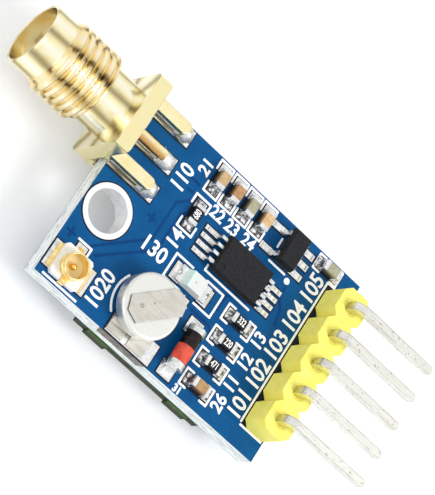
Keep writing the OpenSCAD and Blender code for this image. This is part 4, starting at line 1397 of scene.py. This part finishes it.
@dataclass(frozen=True)
class LegSolder(AddedPiece):
    """Rounded solder at the ends of the antenna jack's upper legs and tail."""

    name: ClassVar[str] = "leg_solder"
    slot: ClassVar[Slot] = Slot.TIN
    finish: ClassVar[Finish] = SOLDER_FINISH

    domes: Tuple[SolderDome, ...] = (
        SolderDome((3.4, 10.11), (1.02, 0.72), 0.9),
        SolderDome((3.4, 15.195), (1.02, 0.69), 0.9),
        SolderDome((3.2, 12.65), (1.22, 0.7), 0.74),
    )
    level: float = 0.06
    cut: float = 0.3
    segments: int = 48
    rings: int = 24
    squareness: float = 2.8
    pole: float = 1e-6
    smooth_angle: float = 40.0

    def pattern(self) -> Piece:
        """Models one mound from the cap of a ball, squared off in its outline.

        Returns:
            The mound, one unit wide and tall on its flat base.
        """
        Bench.clear()
        bpy.ops.mesh.primitive_uv_sphere_add(segments=self.segments, ring_count=self.rings, radius=1.0)
        with Bench.editing():
            bpy.ops.mesh.bisect(plane_co=(0, 0, self.cut), plane_no=(0, 0, 1), clear_inner=True,
                                use_fill=True)
        mound = bpy.context.object
        base = math.sqrt(1 - self.cut ** 2)
        shape = Matrix.Diagonal((1 / base, 1 / base, 1 / (1 - self.cut), 1.0))
        mound.data.transform(shape @ Matrix.Translation((0, 0, -self.cut)))
        for vertex in mound.data.vertices:
            reach = math.hypot(vertex.co.x, vertex.co.y)
            if reach > self.pole:
                ways = [abs(part / reach) ** self.squareness for part in vertex.co.xy]
                vertex.co.xy *= sum(ways) ** (-1 / self.squareness)
        bpy.ops.object.shade_smooth_by_angle(angle=math.radians(self.smooth_angle))
        return mound

    def build(self) -> Piece:
        """Sets one mound at each leg and at the tail.

        Returns:
            The mounds as one piece.
        """
        berths = []
        for dome in self.domes:
            size = Matrix.Diagonal((dome.half[0] * MM, dome.half[1] * MM, dome.tall * MM, 1.0))
            berths.append((0.0, 0.0, Matrix.Translation(BOARD.at(*dome.place, self.level)) @ size))
        return Bench.join(Bench.lay(self.pattern(), berths), self.name)


@dataclass(frozen=True)
class TabStrip(AddedPiece):
    """A dark grey strip on the near side of the board, below the bottom tab."""

    name: ClassVar[str] = "tab_strip"
    slot: ClassVar[Slot] = Slot.TAB
    finish: ClassVar[Finish] = STRIP_FINISH

    along: Point = (6.45, 10.95)
    drop: float = 0.85
    thickness: float = 0.03
    edge_round: float = 0.01
    edge_steps: int = 2
    taper: float = 0.88

    def build(self) -> Piece:
        """Models the strip from a cube with rounded edges.

        Returns:
            The strip.
        """
        Bench.clear()
        bpy.ops.mesh.primitive_cube_add(size=MM)
        with Bench.editing():
            bpy.ops.transform.resize(value=(self.along[1] - self.along[0], self.thickness, self.drop))
            bpy.ops.mesh.bevel(offset=self.edge_round * MM, segments=self.edge_steps)
        strip = bpy.context.object
        strip.name = strip.data.name = self.name
        for vertex in strip.data.vertices:
            if vertex.co.z < 0:
                vertex.co.x *= self.taper
        middle = BOARD.at(sum(self.along) / 2, -self.thickness / 2, -self.drop / 2)
        strip.data.transform(Matrix.Translation(middle))
        return strip


@dataclass(frozen=True)
class ThreadedJack(AddedPiece):
    """The antenna jack's body with a true helical thread in place of plain ridges."""

    name: ClassVar[str] = "threaded_jack"
    slot: ClassVar[Slot] = Slot.GOLD
    finish: ClassVar[Finish] = FINISHES[Slot.GOLD]

    node: str = "antenna_jack_body"
    ridged: Point = (-8.25, -3.95)
    span: Point = (-8.0, -4.05)
    pitch: float = 0.7
    crest: float = 2.95
    root: float = 2.68
    core: float = 2.605
    crest_flat: float = 0.28
    flank: float = 0.16
    leads: Point = (0.35, 0.2)
    steps: int = 72
    turns_before: int = 2
    turns_after: int = 1
    body_smooth_angle: float = 35.0
    thread_smooth_angle: float = 20.0

    @staticmethod
    def spoke(point: Vector) -> Tuple[float, Vector]:
        """Splits a point into its place along the board and its offset from the axis, in millimetres."""
        local = (point - BOARD.corner) / MM
        return local.x, Vector((local.y - JACK_AXIS[0], local.z - JACK_AXIS[1]))

    def limit(self, vertex: bpy.types.MeshVertex, reach: float) -> None:
        """Draws a vertex in to a radius round the jack's axis.

        Args:
            vertex: The vertex.
            reach: The radius, in millimetres.
        """
        along, offset = self.spoke(vertex.co)
        if offset.length > reach:
            offset *= reach / offset.length
            vertex.co = BOARD.at(along, JACK_AXIS[0] + offset.x, JACK_AXIS[1] + offset.y)

    def smooth_body(self) -> Piece:
        """Copies the CAD body and draws its ridges in to a plain core.

        Returns:
            The smooth body.
        """
        body = Bench.copy(frame["nodes"][self.node])
        for vertex in body.data.vertices:
            if self.ridged[0] < self.spoke(vertex.co)[0] < self.ridged[1]:
                self.limit(vertex, self.core)
        Bench.pick(body)
        bpy.ops.mesh.customdata_custom_splitnormals_clear()
        with Bench.editing():
            bpy.ops.mesh.remove_doubles(threshold=MERGE)
        bpy.ops.object.shade_smooth_by_angle(angle=math.radians(self.body_smooth_angle))
        return body

    def outline(self) -> Piece:
        """Models one pitch of the thread's outline as a chain of edges above the axis.

        Returns:
            The chain.
        """
        rise = self.crest - self.root
        root_flat = self.pitch - self.crest_flat - 2 * self.flank
        moves = ((root_flat, 0.0), (self.flank, rise), (self.crest_flat, 0.0), (self.flank, -rise))
        Bench.clear()
        bpy.ops.mesh.primitive_plane_add(size=MM)
        with Bench.editing():
            bpy.ops.mesh.select_mode(type="VERT")
            bpy.ops.mesh.merge(type="CENTER")
            bpy.ops.transform.translate(value=(0, 0, self.root * MM))
            for along, up in moves:
                bpy.ops.mesh.extrude_region_move(TRANSFORM_OT_translate={"value": (along * MM, 0, up * MM)})
        return bpy.context.object

    def thread(self) -> Piece:
        """Winds the outline round the axis, cuts it to length and slopes its ends.

        Returns:
            The thread, at its place.
        """
        coil = self.outline()
        spare = self.turns_before + self.turns_after
        screw = coil.modifiers.new("winding", "SCREW")
        screw.axis = "X"
        screw.screw_offset = self.pitch * MM
        screw.iterations = math.ceil((self.span[1] - self.span[0]) / self.pitch) + spare
        screw.steps = screw.render_steps = self.steps
        bpy.ops.object.modifier_apply(modifier="winding")
        start = BOARD.at(self.span[0] - self.turns_before * self.pitch, *JACK_AXIS)
        coil.data.transform(Matrix.Translation(start))
        with Bench.editing():
            bpy.ops.mesh.remove_doubles(threshold=MERGE)
            for end, way in zip(self.span, (1, -1)):
                bpy.ops.mesh.select_all(action="SELECT")
                bpy.ops.mesh.bisect(plane_co=BOARD.at(end, *JACK_AXIS), plane_no=(way, 0, 0),
                                    clear_inner=True, use_fill=True, threshold=MERGE)
            bpy.ops.mesh.select_all(action="SELECT")
            bpy.ops.mesh.normals_make_consistent(inside=False)
        for vertex in coil.data.vertices:
            along = self.spoke(vertex.co)[0]
            insets = (along - self.span[0], self.span[1] - along)
            share = min(1.0, *(max(0.0, inset / lead) for inset, lead in zip(insets, self.leads)))
            self.limit(vertex, self.core + share * (self.crest - self.core))
        bpy.ops.object.shade_smooth_by_angle(angle=math.radians(self.thread_smooth_angle))
        return coil

    def build(self) -> Piece:
        """Joins the smooth body and the thread.

        Returns:
            The jack as one piece, in place of its CAD node.
        """
        jack = Bench.join([self.smooth_body(), self.thread()], self.name)
        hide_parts(self.node)
        return jack


@dataclass(frozen=True)
class Lamp:
    """A square soft lamp that faces the object."""

    name: str
    direction: Triple
    distance: float
    size: float
    power: float

    def build(self, target: Vector) -> None:
        """Adds the lamp at its distance from the target.

        Args:
            target: The point that it faces, in metres.
        """
        data = bpy.data.lights.new(self.name, "AREA")
        data.size = self.size
        data.energy = self.power
        lamp = bpy.data.objects.new(self.name, data)
        away = Vector(self.direction).normalized()
        lamp.location = target + away * self.distance
        lamp.rotation_euler = away.to_track_quat("Z", "Y").to_euler()
        bpy.context.scene.collection.objects.link(lamp)


@dataclass(frozen=True)
class Stage:
    """Camera, lamps, pale floor and white surround."""

    camera_place: Triple = (-78.262, -77.466, 179.141)
    camera_aim: Triple = (1.2935, 2.6108, 4.06)
    camera_roll: float = 82.798
    lens: float = 213.162
    sensor: float = 36.0
    near_clip: float = 1.0
    floor_size: float = 1.2
    floor_shade: Colour = (0.76, 0.78, 0.8, 1.0)
    floor_lift: float = 0.24
    surround: Colour = ink(255, 255, 255)
    ambient: float = 0.82
    seen_rays: Tuple[str, ...] = ("Is Glossy Ray", "Is Transmission Ray")
    lamps: Tuple[Lamp, ...] = (
        Lamp("key_lamp", direction=(0.72, -0.12, 0.72), distance=0.32, size=0.12, power=0.5),
        Lamp("fill_lamp", direction=(-0.7, -0.5, 0.6), distance=0.4, size=0.3, power=0.3),
    )

    def camera(self) -> None:
        """Puts the camera where the photograph was taken from."""
        data = bpy.data.cameras.new("photo_camera")
        data.lens = self.lens
        data.sensor_width = self.sensor
        data.clip_start = self.near_clip * MM
        place, aim = Vector(self.camera_place) * MM, Vector(self.camera_aim) * MM
        forward = (aim - place).normalized()
        level = forward.cross(Vector((0, 0, 1))).normalized()
        upright = level.cross(forward)
        roll = math.radians(self.camera_roll)
        right = level * math.cos(roll) + upright * math.sin(roll)
        up = upright * math.cos(roll) - level * math.sin(roll)
        camera = bpy.data.objects.new("photo_camera", data)
        axes = Matrix((right, up, -forward)).transposed()
        camera.matrix_world = Matrix.Translation(place) @ axes.to_4x4()
        bpy.context.scene.collection.objects.link(camera)
        bpy.context.scene.camera = camera

    def seen(self, graph: Graph) -> Field:
        """Marks what is looked at, directly or in a mirror or glass.

        Args:
            graph: The nodes that take part.

        Returns:
            1 for rays from the camera and for reflected and refracted rays, and 0 for other rays.
        """
        camera = graph.node("ShaderNodeLightPath", output="Is Camera Ray")
        rays = sum((camera.sibling(name) for name in self.seen_rays), camera)
        return rays.math("MINIMUM", rays, 1.0)

    def world(self) -> None:
        """White surround where it is seen, and softer light elsewhere."""
        bpy.context.scene.world = bpy.data.worlds.new("white_surround")
        graph = Graph(bpy.context.scene.world)
        strength = self.ambient + self.seen(graph) * (1.0 - self.ambient)
        shade = graph.node("ShaderNodeBackground", None, {"Color": self.surround, "Strength": strength})
        graph.close(shade, "ShaderNodeOutputWorld")

    def floor(self) -> None:
        """A pale floor that turns white where no shadow falls."""
        Bench.clear()
        bpy.ops.mesh.primitive_plane_add(size=self.floor_size)
        floor = bpy.context.object
        floor.name = "floor"
        graph = Graph(bpy.data.materials.new("pale_floor"))
        matt = graph.node("ShaderNodeBsdfDiffuse", None, {"Color": self.floor_shade})
        lift = graph.node("ShaderNodeEmission", None, {"Strength": self.seen(graph) * self.floor_lift})
        graph.close(graph.node("ShaderNodeAddShader", None, {0: matt, 1: lift}))
        floor.data.materials.append(graph.owner)

    def build(self) -> None:
        """Sets the whole stage."""
        bpy.context.scene.view_settings.view_transform = "Standard"
        self.camera()
        self.world()
        self.floor()
        for lamp in self.lamps:
            lamp.build(Vector(self.camera_aim) * MM)


def main() -> None:
    """Builds the stage, the finishes and the added pieces, in order."""
    logging.basicConfig(level=logging.INFO, format="%(name)s: %(message)s")
    Stage().build()
    CadDress.dress()
    added = (MaskGaps, LegSolder, TabStrip, ThreadedJack, BoardPrint, ResistorMarks, CopperTraces)
    for assembly in [kind() for kind in added]:
        assembly.dress(assembly.build())


if __name__ == "__main__":
    main()
